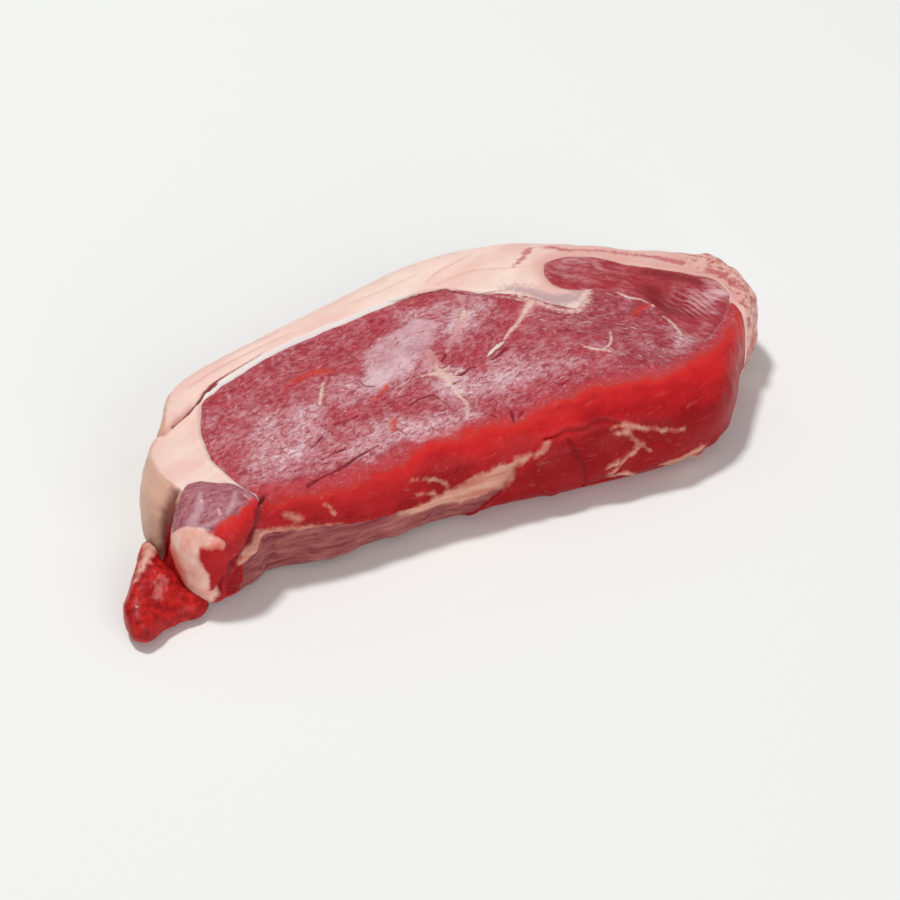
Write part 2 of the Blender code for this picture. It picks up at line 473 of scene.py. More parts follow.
@dataclass
class Seams:
    """Where the layers meet, seen from above, as closed loops between the solids."""

    height: float = 11.0  # where the wall bulges most
    spacing: float = 0.5
    gap: float = 0.3
    wobble: float = 0.28
    loops: dict[Layer, np.ndarray] = field(default_factory=dict)

    def footprint(self, layer: Layer) -> np.ndarray:
        """Outline of a layer's solid at the cutting height, anticlockwise."""
        mesh = solid(layer)
        cut = bmesh.ops.bisect_plane(
            mesh, geom=mesh.verts[:] + mesh.edges[:] + mesh.faces[:],
            plane_co=(0.0, 0.0, self.height * MM), plane_no=(0.0, 0.0, 1.0))["geom_cut"]
        loops, seen = [], set()
        links: dict[bmesh.types.BMVert, list[bmesh.types.BMVert]] = {}
        for edge in (item for item in cut if isinstance(item, bmesh.types.BMEdge)):
            first, second = edge.verts
            links.setdefault(first, []).append(second)
            links.setdefault(second, []).append(first)
        for start in links:
            if start in seen:
                continue
            chain, vert = [], start
            while vert is not None:
                seen.add(vert)
                chain.append((vert.co.x / MM, vert.co.y / MM))
                vert = next((v for v in links[vert] if v not in seen), None)
            loops.append(np.array(chain))
        mesh.free()
        loop = max(loops, key=lambda points: np.ptp(points[:, 0]) * np.ptp(points[:, 1]))
        after = np.roll(loop, -1, axis=0)
        area = np.sum(loop[:, 0] * after[:, 1] - loop[:, 1] * after[:, 0])
        return self.even(loop if area > 0 else loop[::-1])

    def even(self, loop: np.ndarray) -> np.ndarray:
        """The loop with points at an even spacing."""
        closed = np.vstack((loop, loop[:1]))
        lengths = np.linalg.norm(np.diff(closed, axis=0), axis=1)
        run = np.concatenate(([0.0], np.cumsum(lengths)))
        places = np.arange(0.0, run[-1], self.spacing)
        return np.stack([np.interp(places, run, closed[:, i]) for i in (0, 1)], axis=1)

    def trace(self) -> None:
        """Work out the cutting loop of every layer that the fat wraps.

        A loop runs in the middle of the gap to its neighbours. Where no neighbour is
        near it lies well outside the wall, and where the neighbour is cut out before
        it, a little inside that neighbour, so that no sliver is left.
        """
        order = (Layer.CAP, Layer.EYE, Layer.TAIL_LEAN, Layer.TAIL_FAT)
        prints = {layer: self.footprint(layer) for layer in (*order, Layer.FAT)}
        noise = Noise(5)
        done: list[Layer] = []
        for layer in order:
            loop = prints[layer]
            out = np.full(len(loop), 5.0)
            for other, points in prints.items():
                if other is layer:
                    continue
                distance = nearest_on_line(loop, np.vstack((points, points[:1])))[0]
                near = distance < 1.2
                out[near] = np.minimum(out[near], 1.0 if other in done else self.gap * 0.5)
            spread = np.concatenate((loop, np.zeros((len(loop), 1))), axis=1)
            seam = out <= self.gap
            out = out + seam * self.wobble * noise.layered(spread, 5.0, 3)
            self.loops[layer] = self.grown(self.rounded(loop, 2), out)
            done.append(layer)
        for layer in (*order, Layer.FAT):
            self.loops.setdefault(layer, prints[layer])

    def rounded(self, loop: np.ndarray, passes: int) -> np.ndarray:
        """The loop with its corners averaged away."""
        for _ in range(passes):
            loop = (np.roll(loop, 1, axis=0) + loop * 2.0 + np.roll(loop, -1, axis=0)) / 4.0
        return loop

    def grown(self, loop: np.ndarray, out: np.ndarray) -> np.ndarray:
        """The loop moved outward by an amount that changes along it."""
        along = np.roll(loop, -3, axis=0) - np.roll(loop, 3, axis=0)
        normals = np.stack((along[:, 1], -along[:, 0]), axis=1)
        normals /= np.linalg.norm(normals, axis=1, keepdims=True)
        return loop + normals * out[:, None]

    def guide(self, layer: Layer) -> bpy.types.Object:
        """An upright prism on a layer's loop, to cut the skin with."""
        mesh = bmesh.new()
        low, high = -6.0, 42.0
        rings = [[mesh.verts.new((x * MM, y * MM, z * MM)) for x, y in self.loops[layer]]
                 for z in (low, high)]
        count = len(rings[0])
        for i in range(count):
            j = (i + 1) % count
            mesh.faces.new((rings[0][i], rings[0][j], rings[1][j], rings[1][i]))
        mesh.faces.new(rings[0][::-1])
        mesh.faces.new(rings[1])
        data = bpy.data.meshes.new("guide")
        mesh.to_mesh(data)
        mesh.free()
        return linked(f"guide_{layer.value}", data)

    def distance(self, layer: Layer, points: np.ndarray) -> np.ndarray:
        """Distance in plan from points to a layer's loop, outward positive."""
        loop = self.loops[layer]
        closed = np.vstack((loop, loop[:1]))[::2]
        away, place = nearest_on_line(points[:, :2], closed)
        index = np.minimum(place.astype(int), len(closed) - 2)
        run = closed[index + 1] - closed[index]
        offset = points[:, :2] - closed[index]
        side = np.sign(offset[:, 0] * run[:, 1] - offset[:, 1] * run[:, 0])
        return away * np.where(side == 0, 1.0, side)


@dataclass
class Carving:
    """Cuts the skin into one closed piece for each layer."""

    skin: Skin
    seams: Seams

    def pieces(self) -> dict[Layer, bpy.types.Object]:
        """Cut the layers out one after another. The fat is what is left."""
        rest = linked("rest", self.skin.data)
        made = {}
        for layer in (Layer.CAP, Layer.EYE, Layer.TAIL_LEAN, Layer.TAIL_FAT):
            guide = self.seams.guide(layer)
            made[layer] = linked(layer.value, self.cut(rest, guide, "INTERSECT"))
            remaining = self.cut(rest, guide, "DIFFERENCE")
            bpy.data.objects.remove(rest)
            bpy.data.objects.remove(guide)
            rest = linked("rest", remaining)
        made[Layer.FAT] = rest
        return made

    def cut(self, obj: bpy.types.Object, guide: bpy.types.Object, how: str) -> bpy.types.Mesh:
        """One Boolean cut.

        Args:
            obj: What is cut. It is left as it is.
            guide: The prism.
            how: INTERSECT or DIFFERENCE.

        Returns:
            The cut mesh.
        """
        copy = linked("cut", obj.data.copy())
        modifier = copy.modifiers.new("cut", "BOOLEAN")
        modifier.operation = how
        modifier.solver = "MANIFOLD"
        modifier.object = guide
        return applied(copy)


@dataclass(frozen=True)
class Relief:
    """What the knife, the grain and the seams leave on the skin."""

    skin: Skin
    seams: Seams

    shoulder: tuple[Point, ...] = (
        (97, 5), (93, -4), (88, -11), (80, -18.5), (72, -23.5), (65, -26), (58, -27.5), (51, -28),
        (41, -27), (34, -28), (28, -29), (24, -28), (18, -31), (11, -33), (3, -32), (-5, -33),
        (-12, -33), (-18, -34), (-25, -37), (-32, -38.3), (-38, -39), (-44, -40.2), (-51, -41),
        (-56, -40), (-63, -40), (-68, -40), (-72, -42), (-75, -43.5), (-79, -44), (-83, -44.5),
        (-88, -43.5), (-92, -40), (-95, -34),
    )

    def carve(self) -> None:
        """Do all of it, in an order in which nothing undoes what came before."""
        self.read_seams()
        self.paint_side()
        self.cut_face()
        self.veins()
        self.fissures()
        self.front_wall()
        self.silver_skin()
        self.wall_fat()
        self.cap_muscle()
        self.fat()
        self.tail()
        self.seam_grooves()
        self.skin.finish()

    def read_seams(self) -> None:
        """Distances in plan to the seams, outward positive."""
        for name, layer in (("eye_seam", Layer.EYE), ("cap_seam", Layer.CAP),
                            ("lean_seam", Layer.TAIL_LEAN), ("tail_seam", Layer.TAIL_FAT)):
            self.skin.fields[name] = self.seams.distance(layer, self.skin.rest)

    def paint_side(self) -> None:
        """How far past the shoulder of the cut face a point lies, in millimetres."""
        skin = self.skin
        line = dense_line(np.array(self.shoulder, dtype=float), 1.0)
        away, place = nearest_on_line(skin.rest[:, :2], line)
        index = np.minimum(place.astype(int), len(line) - 2)
        run = line[index + 1] - line[index]
        offset = skin.rest[:, :2] - line[index]
        side = away * np.sign(run[:, 0] * offset[:, 1] - run[:, 1] * offset[:, 0])
        # Deeper down the wall counts as further past the shoulder, which darkens the wall's red there
        # as painted shade.
        side += 1.0 * np.clip(25.0 - skin.rest[:, 2], 0.0, 20.0) * (1.0 - skin.top)
        noise = Noise(11)
        side += 0.9 * noise.layered(skin.rest, 4.0, 3)
        side = side * (1.0 - skin.under) - 4.0 * skin.under
        skin.fields["side"] = np.clip(side, -20.0, 20.0)
        beside = (skin.rest[:, 0] < -58.0) & (skin.rest[:, 1] < -34.0)
        skin.fields["flank"] = np.where(beside, skin.fields["side"], FAR)

    def cut_face(self) -> None:
        """Grain of the muscle on the cut faces, in bundles, and soft waves below it."""
        skin = self.skin
        noise = Noise(21)
        places = skin.rest
        warp = np.stack([noise.layered(places + 40.0 * axis, 9.0, 2) for axis in (0, 1, 2)],
                        axis=1)
        bent = places + warp * 1.6
        eye = step(0.3, -1.2, skin.fields["eye_seam"])
        cap = step(0.3, -1.2, skin.fields["cap_seam"])
        lean = step(0.3, -1.0, skin.fields["lean_seam"])
        turn = step(28.0, 50.0, places[:, 0] + 0.4 * places[:, 1] + 5.0 * warp[:, 0])
        skin.fields["turn"] = turn
        left, right = turned(bent, 27.0, 3.4), turned(bent, -42.0, 3.4)
        bundles = (1.0 - turn) * noise.ridged(left, 2.7) + turn * noise.ridged(right, 2.5)
        fine = ((1.0 - turn) * noise.layered(turned(bent, 27.0, 2.2), 1.2, 2)
                + turn * noise.layered(turned(bent, -42.0, 2.2), 1.2, 2))
        faces = np.maximum(skin.top, skin.under * 0.4)
        uneven = 0.65 + 0.5 * noise.layered(places, 11.0, 2)
        wrinkles = -noise.ridged(turned(bent, 8.0, 1.8) + 70.0, 3.6)
        amount = ((0.15 * bundles + 0.075 * fine + 0.13 * wrinkles) * uneven
                  * np.maximum(eye, 0.7 * lean))
        skin.lift(amount * faces)
        soft = noise.layered(places + 90.0, 16.0, 2)
        skin.lift(0.38 * soft * np.maximum(eye, cap) * skin.top)
        skin.lift(0.05 * noise.layered(turned(bent, 27.0, 2.0), 1.5, 2) * skin.wall)
        skin.swell((-10, 6), 13.0, 0.7)
        skin.swell((-16, -3), 7.0, 0.35)
        skin.swell((-30, 22), 12.0, -0.5)
        skin.swell((24, 12), 9.0, -0.5)
        skin.swell((10, -26), 12.0, -0.4)

    def veins(self) -> None:
        """Fat and sinew that run through the eye, a little proud of the cut face."""
        skin = self.skin
        skin.mark("vein", (
            Trace(((-1, -2), (-1.5, -4), (-1, -6.5)), (0.1, 0.7, 1.3)),
            Trace(((-1, -6), (1, -8.5), (4.5, -10)), (1.3, 0.9, 0.2)),
            Trace(((-1.5, -5.5), (1, -4.5), (2.5, -3.6)), (1.0, 0.35, 0.1)),
            Trace(((-1, -6.5), (-4, -6), (-8, -6)), (0.9, 0.35, 0.1)),
            Trace(((-1, -6), (-0.8, -10), (0, -14), (0, -18), (0.5, -22), (-2, -29)),
                  (1.2, 0.8, 0.5, 0.35, 0.25, 0.1)),
            Trace(((17, 22), (15.5, 19), (12.5, 15)), (0.1, 0.6, 0.1)),
            Trace(((37, 18), (33, 14), (29, 9.5), (25, 6), (22, 3)), (1.0, 0.6, 0.35, 0.4, 0.1)),
            Trace(((42, -9), (44, -11), (47, -13), (48, -14)), (0.2, 0.45, 0.45, 0.2)),
            Trace(((52, -5), (50, -10), (47, -12)), (0.15, 0.3, 0.2)),
            Trace(((63, 14), (65, 9.5), (68, 8), (70, 5), (70, 3)), (0.2, 0.5, 0.4, 0.6, 0.6)),
            Trace(((70, -3), (71, -8), (71, -14)), (0.15, 0.35, 0.15)),
            Trace(((-34, 1), (-36, -3), (-38, -8)), (0.15, 0.35, 0.3)),
        ), lift=0.3, soft=1.2)
        skin.mark("sheath", (
            Trace(((18, 30), (17, 23), (15, 19), (12, 14), (10, 11), (6, 6), (4, 3)),
                  (0.6, 0.7, 1.3, 0.9, 1.1, 0.9, 0.3)),
            Trace(((38, 18), (35, 15.5), (31, 12), (27, 7.5), (23, 4)), (2.2, 1.6, 1.0, 0.8, 0.5)),
            Trace(((-61, -5), (-58.5, -3.5)), (0.6, 1.0)),
            Trace(((-1, -6), (-1.5, -1), (-1, 4)), (2.2, 2.2, 1.2)),
        ), lift=0.2, soft=1.5)
        skin.mark("hot", (
            Trace(((-46, 2.5), (-40, 5), (-35, 6.3), (-30, 6)), (0.1, 0.9, 1.5, 0.8)),
            Trace(((-18, -7), (-21, -10), (-26, -12)), (0.7, 0.5, 0.2)),
            Trace(((-21, -22), (-23, -26)), (0.8, 0.9)),
            Trace(((70, 4), (66, 3), (60, -1)), (0.9, 0.9, 0.2)),
        ), lift=0.35, soft=1.4)
        skin.mark("bulge", (
            Trace(((2, 17), (-6, 10), (-13, 4), (-20, -4)), (4.0, 7.0, 7.0, 2.6)),
        ), lift=0.5, soft=0.35)
        # Painted sheen: how densely light caught on the wet cut face is painted over it; most on the
        # bulge and in the spots below.
        noise = Noise(23)
        x, y = skin.rest[:, 0], skin.rest[:, 1]
        warp_x, warp_y = (4.0 * noise.layered(skin.rest + 50.0 * k, 9.0, 3) for k in (0, 1))
        painted_sheen = 0.06 + 0.5 * step(-3.0, 2.0, skin.fields["bulge"])
        for middle_x, middle_y, long, short, degrees, amount in (
            (15, 16, 15, 9, 45, 0.6), (-2, -10, 14, 9, -70, 0.5), (10, -16, 16, 8, 5, 0.5),
            (-44, -12, 26, 13, 25, 0.42), (-54, -26, 20, 13, 30, 0.45), (-20, -4, 16, 8, 20, 0.4),
            (-28, -28, 24, 10, 15, 0.4), (22, -12, 20, 12, 0, 0.3), (-8, -28, 22, 10, 10, 0.4),
            (74, -16, 22, 7, 25, 0.3), (88, -2, 10, 6, 50, 0.3), (6, 25, 16, 7, 10, 0.35),
            (-62, -6, 14, 12, 0, 0.15), (20, 22, 13, 7, 30, 0.35), (38, -16, 20, 9, 0, 0.1),
            (86, 2, 10, 8, 0, 0.3), (-4, -16, 14, 10, 0, 0.2), (56, 31, 15, 7, -25, 0.3),
            (90, 5, 10, 12, 0, 0.5), (-20, -36, 12, 4, 12, 0.25), (-40, -34, 12, 5, 10, 0.2),
        ):
            angle = math.radians(degrees)
            u = (x + warp_x - middle_x) * math.cos(angle) + (y + warp_y - middle_y) * math.sin(angle)
            v = (y + warp_y - middle_y) * math.cos(angle) - (x + warp_x - middle_x) * math.sin(angle)
            painted_sheen += amount * bump(np.hypot(u / long, v / short))
        painted_sheen += 0.15 * noise.layered(skin.rest, 5.0, 3)
        skin.fields["painted_sheen"] = np.clip(painted_sheen, 0.0, 1.1) * (1.0 - skin.under)

    def fissures(self) -> None:
        """Fine cracks between the fibre bundles, most of them along the grain, and the painted shadow
        of the chip of sinew.
        """
        lines = [
            Trace(((-15, -17), (-10, -15), (-7, -15), (-5, -19)), (0.2, 0.45, 0.4, 0.15)),
            Trace(((-47, -26), (-42, -22)), (0.15, 0.4)),
            Trace(((-45, -31), (-38, -29)), (0.2, 0.4)),
            Trace(((-37, -18), (-30, -17)), (0.3, 0.2)),
            Trace(((-22, -25), (-20, -29)), (0.3, 0.3)),
            Trace(((-52, -40), (-47, -38), (-41, -36), (-35, -33), (-29, -31)),
                  (0.5, 0.3, 0.6, 0.5, 0.2)),
            Trace(((0, -4), (1, -8), (4, -8.6), (8, -6), (9, -7)), (0.3, 0.5, 0.6, 0.5, 0.2)),
            Trace(((0, -12), (3, -11)), (0.4, 0.2)),
            Trace(((4, 3), (1, -1)), (0.4, 0.3)),
            Trace(((11, -29), (10.6, -31), (10, -33.5)), (0.25, 0.6, 0.2)),
            Trace(((5, -29), (6, -30.5)), (0.2, 0.3)),
            Trace(((12, -32), (14, -30.5)), (0.2, 0.3)),
            Trace(((27, -21), (29, -23), (31, -22)), (0.2, 0.4, 0.2)),
            # Painted shadow of the curled chip of sinew, cast on the cut face in front of it and
            # painted like a crack.
            Trace(((21, -1.2), (18, -3.2), (15, -5)), (0.5, 0.6, 0.3)),
            Trace(((-24, -1), (-23.5, -4), (-21, -6)), (0.2, 0.35, 0.2)),
        ]
        rng = np.random.default_rng(8)
        shoulder = dense_line(np.array(self.shoulder, dtype=float), 1.0)
        spots = np.stack([rng.uniform(-68.0, 84.0, 200), rng.uniform(-38.0, 32.0, 200)], axis=1)
        inner = self.seams.distance(Layer.EYE, spots) < -2.5
        above = spots[:, 1] > 3.5 + np.interp(spots[:, 0], shoulder[::-1, 0], shoulder[::-1, 1])
        for x, y in spots[inner & above][:75]:
            angle = math.radians((27.0 if x < 38.0 else -42.0) + rng.normal(0.0, 16.0))
            length, half = rng.uniform(1.2, 4.0), rng.uniform(0.1, 0.22)
            bend = rng.normal(0.0, 0.4)
            along, across = (math.cos(angle), math.sin(angle)), (-math.sin(angle), math.cos(angle))
            middle = (x + across[0] * bend, y + across[1] * bend)
            ends = [(x + along[0] * length * k, y + along[1] * length * k) for k in (-0.5, 0.5)]
            lines.append(Trace((ends[0], middle, ends[1]), (0.06, half, 0.06)))
        self.skin.mark("crack_and_shadow", tuple(lines), lift=-0.55, soft=1.6)
        self.skin.mark("crack_and_shadow", (
            Trace(((-3, 34), (1, 34), (8, 35), (15, 34.5), (18, 32.5), (22, 29.5), (28, 28),
                   (34, 26.8)), (0.05, 0.25, 0.4, 0.4, 0.35, 0.3, 0.2, 0.05)),
            Trace(((-46, 21.5), (-55, 17.3), (-60, 14.5), (-65, 11.2), (-70, 6.5), (-74, 2.2),
                   (-79, -1.5)), (0.05, 0.15, 0.3, 0.45, 0.55, 0.6, 0.4)),
        ), lift=-0.6, soft=2.2)

    def front_wall(self) -> None:
        """Folds of the wet front wall: a long fold, and an upright one between lobes; both are later
        painted darker as shade in the lean's colour.
        """
        skin = self.skin
        noise = Noise(31)
        waves = noise.layered(skin.rest * np.array((1.0, 1.0, 0.6)), 13.0, 3)
        skin.lift(0.55 * waves * skin.wall * step(0.0, 4.0, skin.fields["side"]))
        skin.swell((20, -43, 12), 10.0, 1.6)
        skin.swell((37, -43, 13), 9.0, 1.3)
        skin.swell((57, -42, 12), 12.0, 1.0)
        skin.swell((28, -37, 26), 9.0, 0.8)
        skin.swell((76, -30, 14), 14.0, 0.6)
        skin.swell((-6, -40, 20), 11.0, 0.8)
        skin.swell((-36, -44, 19), 12.0, 0.7)
        # The field of these creases is painted dark red in the lean's colour as painted shade.
        skin.mark("crease_shade", (
            Trace(((17, -39, 22.8), (20, -39, 23), (24, -39, 24), (29, -39, 23.2), (34, -38, 24.2),
                   (40, -40, 23)), (0.05, 0.2, 0.4, 0.5, 0.4, 0.1)),
        ), lift=-0.8, soft=4.0)
        skin.mark("crease_shade", (
            Trace(((24, -40, 21.5), (26, -41, 17), (28, -42, 13), (29, -42, 7), (29, -41, 3)),
                  (0.1, 0.4, 0.6, 0.6, 0.5)),
        ), lift=-1.2, soft=3.6)
        skin.lift(1.3 * Noise(33).layered(skin.rest * np.array((1.0, 0.3, 0.0)), 7.0, 2)
                  * step(11.0, 3.0, skin.rest[:, 2]) * skin.wall
                  * step(0.0, 4.0, skin.fields["side"]))

    def silver_skin(self) -> None:
        """The membrane that covers the lower front wall beside the tail."""
        skin = self.skin
        x, y, z = skin.rest.T
        noise = Noise(41)
        ragged = 0.5 * noise.layered(skin.rest, 3.0, 2)
        top = np.interp(x, (-66, -61, -56, -48, -39, -33, -24, -17, -12, -7, -3, 0, 4, 8),
                        (17, 16, 16, 15, 13, 12, 12, 12, 13, 14, 15, 17, 18, 18))
        end = np.interp(z, (0, 3, 6, 9, 12, 14, 18), (-12, -6, -1, 3, 5, 7, 9))
        inside = np.minimum(top - z, end - x) + ragged
        cleft = np.interp(z, (0, 8, 13, 17, 19, 21), (-75, -73, -71, -69, -68, -66))
        inside = np.minimum(inside, x - cleft)
        front = (y < -25.0) & (x > -86.0) & (x < 20.0)
        skin.fields["silver"] = np.where(front, np.clip(inside, FAR, 20.0), FAR)
        edge = skin.fields["silver"]
        skin.lift(-0.9 * step(-0.4, 0.8, edge) * step(1.0, 8.0, z) * skin.wall)
        skin.lift(0.45 * bump((edge + 0.9) / 1.6) * skin.wall * front)
        drape = noise.layered(turned(skin.rest, 0.0, 3.5) * np.array((1.0, 1.0, 1.0)), 3.0, 2)
        skin.lift(0.28 * drape * step(0.5, 2.5, edge) * skin.wall)

    def wall_fat(self) -> None:
        """Streaks and patches of fat on the front wall."""
        self.skin.mark("pad", (
            Trace(((-66, -43, 17), (-61, -43, 16.5), (-57, -43, 16), (-52, -44, 15.5), (-44, -44, 14)),
                  (1.1, 1.0, 0.9, 0.5, 0.1)),
            Trace(((18, -39, 21.5), (16, -40, 20), (14, -40, 18.5)), (0.7, 0.9, 0.5)),
            Trace(((12.5, -40, 19.5), (10, -40, 18.5), (6, -40, 17)), (0.5, 1.1, 1.4)),
            Trace(((-26, -41, 11), (-16, -41, 11), (-8, -40, 12), (-1, -40, 13.5), (4, -40, 15)),
                  (0.6, 2.2, 3.4, 4.4, 3.6)),
            Trace(((-66.5, -44, 17), (-69, -46, 16), (-71.5, -47, 14.5), (-73, -48, 13)),
                  (1.6, 2.2, 2.2, 1.2)),
            Trace(((38, -40, 22), (42, -40, 21.8), (47, -41, 20), (53, -41, 18), (59, -41, 17)),
                  (0.3, 0.8, 0.3, 0.15, 0.1)),
            Trace(((38.5, -41, 20.5), (42, -41, 20)), (0.6, 0.9)),
            Trace(((45, -42, 15), (43, -43, 14), (40, -43, 12.5), (38, -42, 10), (37, -42, 7.5)),
                  (0.4, 1.0, 0.5, 0.3, 0.8)),
            Trace(((43, -42, 18), (45, -42, 16), (48, -43, 13)), (0.15, 0.3, 0.1)),
            Trace(((35, -42, 11), (38, -43, 12)), (0.3, 0.6)),
            Trace(((37, -42, 5), (40, -42, 6.5), (44, -42, 4)), (0.8, 0.6, 0.6)),
            Trace(((53, -42, 5), (57, -41, 6), (61, -41, 6), (66, -40, 7)), (1.0, 1.6, 1.9, 1.2)),
            Trace(((56, -42, 1.5), (62, -40, 2), (70, -38, 3)), (1.2, 1.6, 0.8)),
            Trace(((-48, -43, 22), (-47, -43, 20), (-46, -44, 18)), (0.1, 0.25, 0.1)),
            Trace(((-23, -40, 21), (-19, -40, 20), (-14, -40, 18), (-12, -40, 15)),
                  (0.0, 0.15, 0.2, 0.0)),
            Trace(((-21, -41, 16), (-17, -40, 15), (-15, -40, 13)), (0.0, 0.2, 0.0)),
            Trace(((-59, -43, 21), (-56, -43, 19.5)), (0.6, 1.2)),
        ), lift=0.35, soft=1.3)

    def cap_muscle(self) -> None:
        """Coarse fibres of the cap muscle, its dent, painted darker along it partly as shade, and its
        row of ribs.
        """
        skin = self.skin
        noise = Noise(51)
        inside = step(0.2, -1.0, skin.fields["cap_seam"]) * skin.top
        fibres = noise.layered(turned(skin.rest, -62.0, 4.0), 1.9, 2)
        skin.lift(0.2 * fibres * inside)
        skin.swell((76, 6), 8.0, -1.1)
        skin.swell((66, 18), 7.0, 0.5)
        skin.swell((86, 3), 6.0, 0.5)
        along = turned(skin.rest - np.array((81.5, 1.0, 0.0)), -78.0)
        zone = bump(np.hypot(along[:, 0] / 12.0, along[:, 1] / 9.0))
        skin.fields["ribs"] = zone * skin.top
        pitch = along[:, 1] + 0.8 * noise.layered(skin.rest, 6.0, 2)
        skin.lift(0.28 * np.sin(pitch * math.tau / 1.9) * step(0.0, 0.5, zone) * skin.top)
        # A darker brown along the hollow and a streak beside it: partly the cap's browner tone, partly
        # painted shade in the hollow.
        skin.mark("brown_and_shade", (
            Trace(((73, 12), (74, 5), (74, 0), (78, -6)), (2.4, 3.0, 2.4, 1.2)),
            Trace(((76, 20), (83, 15), (88, 10)), (1.4, 1.6, 1.2)),
        ))

    def fat(self) -> None:
        """Creases, flecks and edges of the fat."""
        skin = self.skin
        x, y, z = skin.rest.T
        noise = Noise(61)
        out = np.minimum(skin.fields["eye_seam"], skin.fields["cap_seam"])
        fat = step(0.3, 2.0, out)
        skin.lift(0.35 * noise.layered(turned(skin.rest, 25.0, 2.5), 9.0, 3) * fat)
        skin.mark("fold", (
            Trace(((-62, 12.5), (-67, 9), (-70, 6), (-73, 3), (-76, 1), (-79, -1.5), (-82, -4)),
                  (0.3, 0.5, 0.9, 1.1, 1.2, 1.1, 1.0)),
            Trace(((-81, -3, 27), (-83, -4, 24), (-84, -4, 18), (-85, -4, 11)), (1.0, 0.9, 0.6, 0.3)),
        ), lift=-1.7, soft=1.8)
        skin.crest((
            Trace(((-77, 9), (-81, -3), (-85, -6), (-87.5, -11), (-87.5, -17), (-88, -24),
                   (-87, -29)), (2.2, 2.6, 3.0, 3.2, 3.2, 3.0, 2.0)),
            Trace(((-66, 9.5), (-70, 3.5), (-75, -1), (-81, -5)), (1.4, 2.2, 2.4, 2.0)),
        ), 0.95)
        skin.swell((-82, 3, 13), 16.0, -2.6)
        skin.swell((-79, 9, 21), 8.0, -0.9)
        # Painted shade: past this brink, the outer left wall of the fat is painted tan.
        brink = dense_line(np.array(((-70, 26), (-76, 12), (-80.5, -2), (-84.5, -6), (-87, -11),
                                     (-87.5, -17), (-87, -24), (-84, -30)), dtype=float), 1.0)
        away, place = nearest_on_line(skin.rest[:, :2], brink)
        index = np.minimum(place.astype(int), len(brink) - 2)
        run, offset = brink[index + 1] - brink[index], skin.rest[:, :2] - brink[index]
        beyond = -away * np.sign(run[:, 0] * offset[:, 1] - run[:, 1] * offset[:, 0])
        skin.fields["left_wall_shade"] = np.where(x < -70.0, beyond, FAR)
        skin.mark("fold", (
            Trace(((11, 39), (16, 43), (23, 46), (31, 50)), (0.2, 0.5, 0.5, 0.2)),
            Trace(((14, 37.5), (22, 39.5), (31, 40), (43, 37)), (0.2, 0.4, 0.4, 0.2)),
            Trace(((-17, 37), (-3, 40), (11, 45)), (0.2, 0.4, 0.2)),
            Trace(((-60, 24), (-50, 27), (-38, 31)), (0.2, 0.4, 0.2)),
            Trace(((-48, 30), (-42, 30)), (0.5, 0.7)),
            Trace(((-70, 14), (-60, 19), (-48, 24), (-34, 29)), (0.3, 0.5, 0.4, 0.2)),
        ), lift=-0.4, soft=2.4)
        skin.mark("blood", (
            Trace(((39, 38), (42, 40), (45, 43), (48, 46)), (0.3, 0.7, 1.0, 0.8)),
            Trace(((53, 45), (57, 42), (62, 39)), (0.8, 0.9, 0.5)),
            Trace(((63, 38.5), (72, 34), (80, 28.5), (88, 22)), (0.5, 0.7, 1.0, 1.6)),
            Trace(((94, 16), (97, 10), (99, 4)), (1.0, 1.0, 0.6)),
            Trace(((100, -2, 20), (101, -6, 13), (100, -10, 6)), (1.0, 1.4, 1.6)),
            Trace(((102, 6, 14), (102, 2, 7)), (1.0, 1.6)),
        ), lift=-0.25, soft=2.0)
        # Painted shade: darker brown low on the wall beside the tail's pocket, and the same darker
        # brown low on the right end.
        skin.fields["hollow"] = step(20.0, 6.0, z) * np.maximum(
            step(-78.0, -92.0, x) * step(-14.0, -28.0, y), 0.9 * step(95.0, 101.0, x))
        skin.fields["ruddy"] = step(50.0, 88.0, x + 0.4 * y) * step(0.0, 2.0, out)
        skin.fields["rind"] = (step(86.0, 97.0, x + 2.0 * noise.layered(skin.rest, 6.0, 2))
                               * step(0.6, 2.0, out))
        skin.lift(0.55 * noise.layered(skin.rest, 4.5, 2) * skin.fields["rind"])
        skin.swell((104, 6, 16), 20.0, 1.3)
        skin.swell((100, 22, 22), 14.0, 0.8)
        skin.mark("grey", (
            Trace(((31, 28.5), (36, 26), (41, 22)), (0.6, 1.9, 2.0)),
            Trace(((41, 21), (45, 17), (49, 15.5), (53, 18)), (2.2, 3.4, 3.0, 0.8)),
        ), lift=-0.25, soft=1.4)
        skin.mark("rim", (
            Trace(((33, 26), (35, 23), (37, 20), (39, 17), (41.5, 13.5), (44.5, 10.5), (48, 10),
                   (52, 13), (56, 18), (61, 20)),
                  (0.4, 0.6, 0.8, 1.2, 0.8, 1.1, 1.5, 1.1, 0.8, 0.2)),
            Trace(((39, 27), (43, 24), (46, 21), (50, 20)), (0.4, 0.9, 0.7, 0.4)),
            Trace(((38, 18), (34, 21), (29, 26)), (0.9, 0.6, 0.2)),
        ), lift=0.12, soft=1.5)
        film = np.abs(skin.fields["eye_seam"] - 0.95)
        width = 0.95 * step(-73.0, -64.0, x) * step(10.0, -6.0, x) * step(-2.0, 6.0, y)
        skin.fields["film"] = np.where(y > -2.0, width - film, FAR)
        skin.lift(-0.35 * bump(film / 1.6) * (width / 0.95) * skin.top)

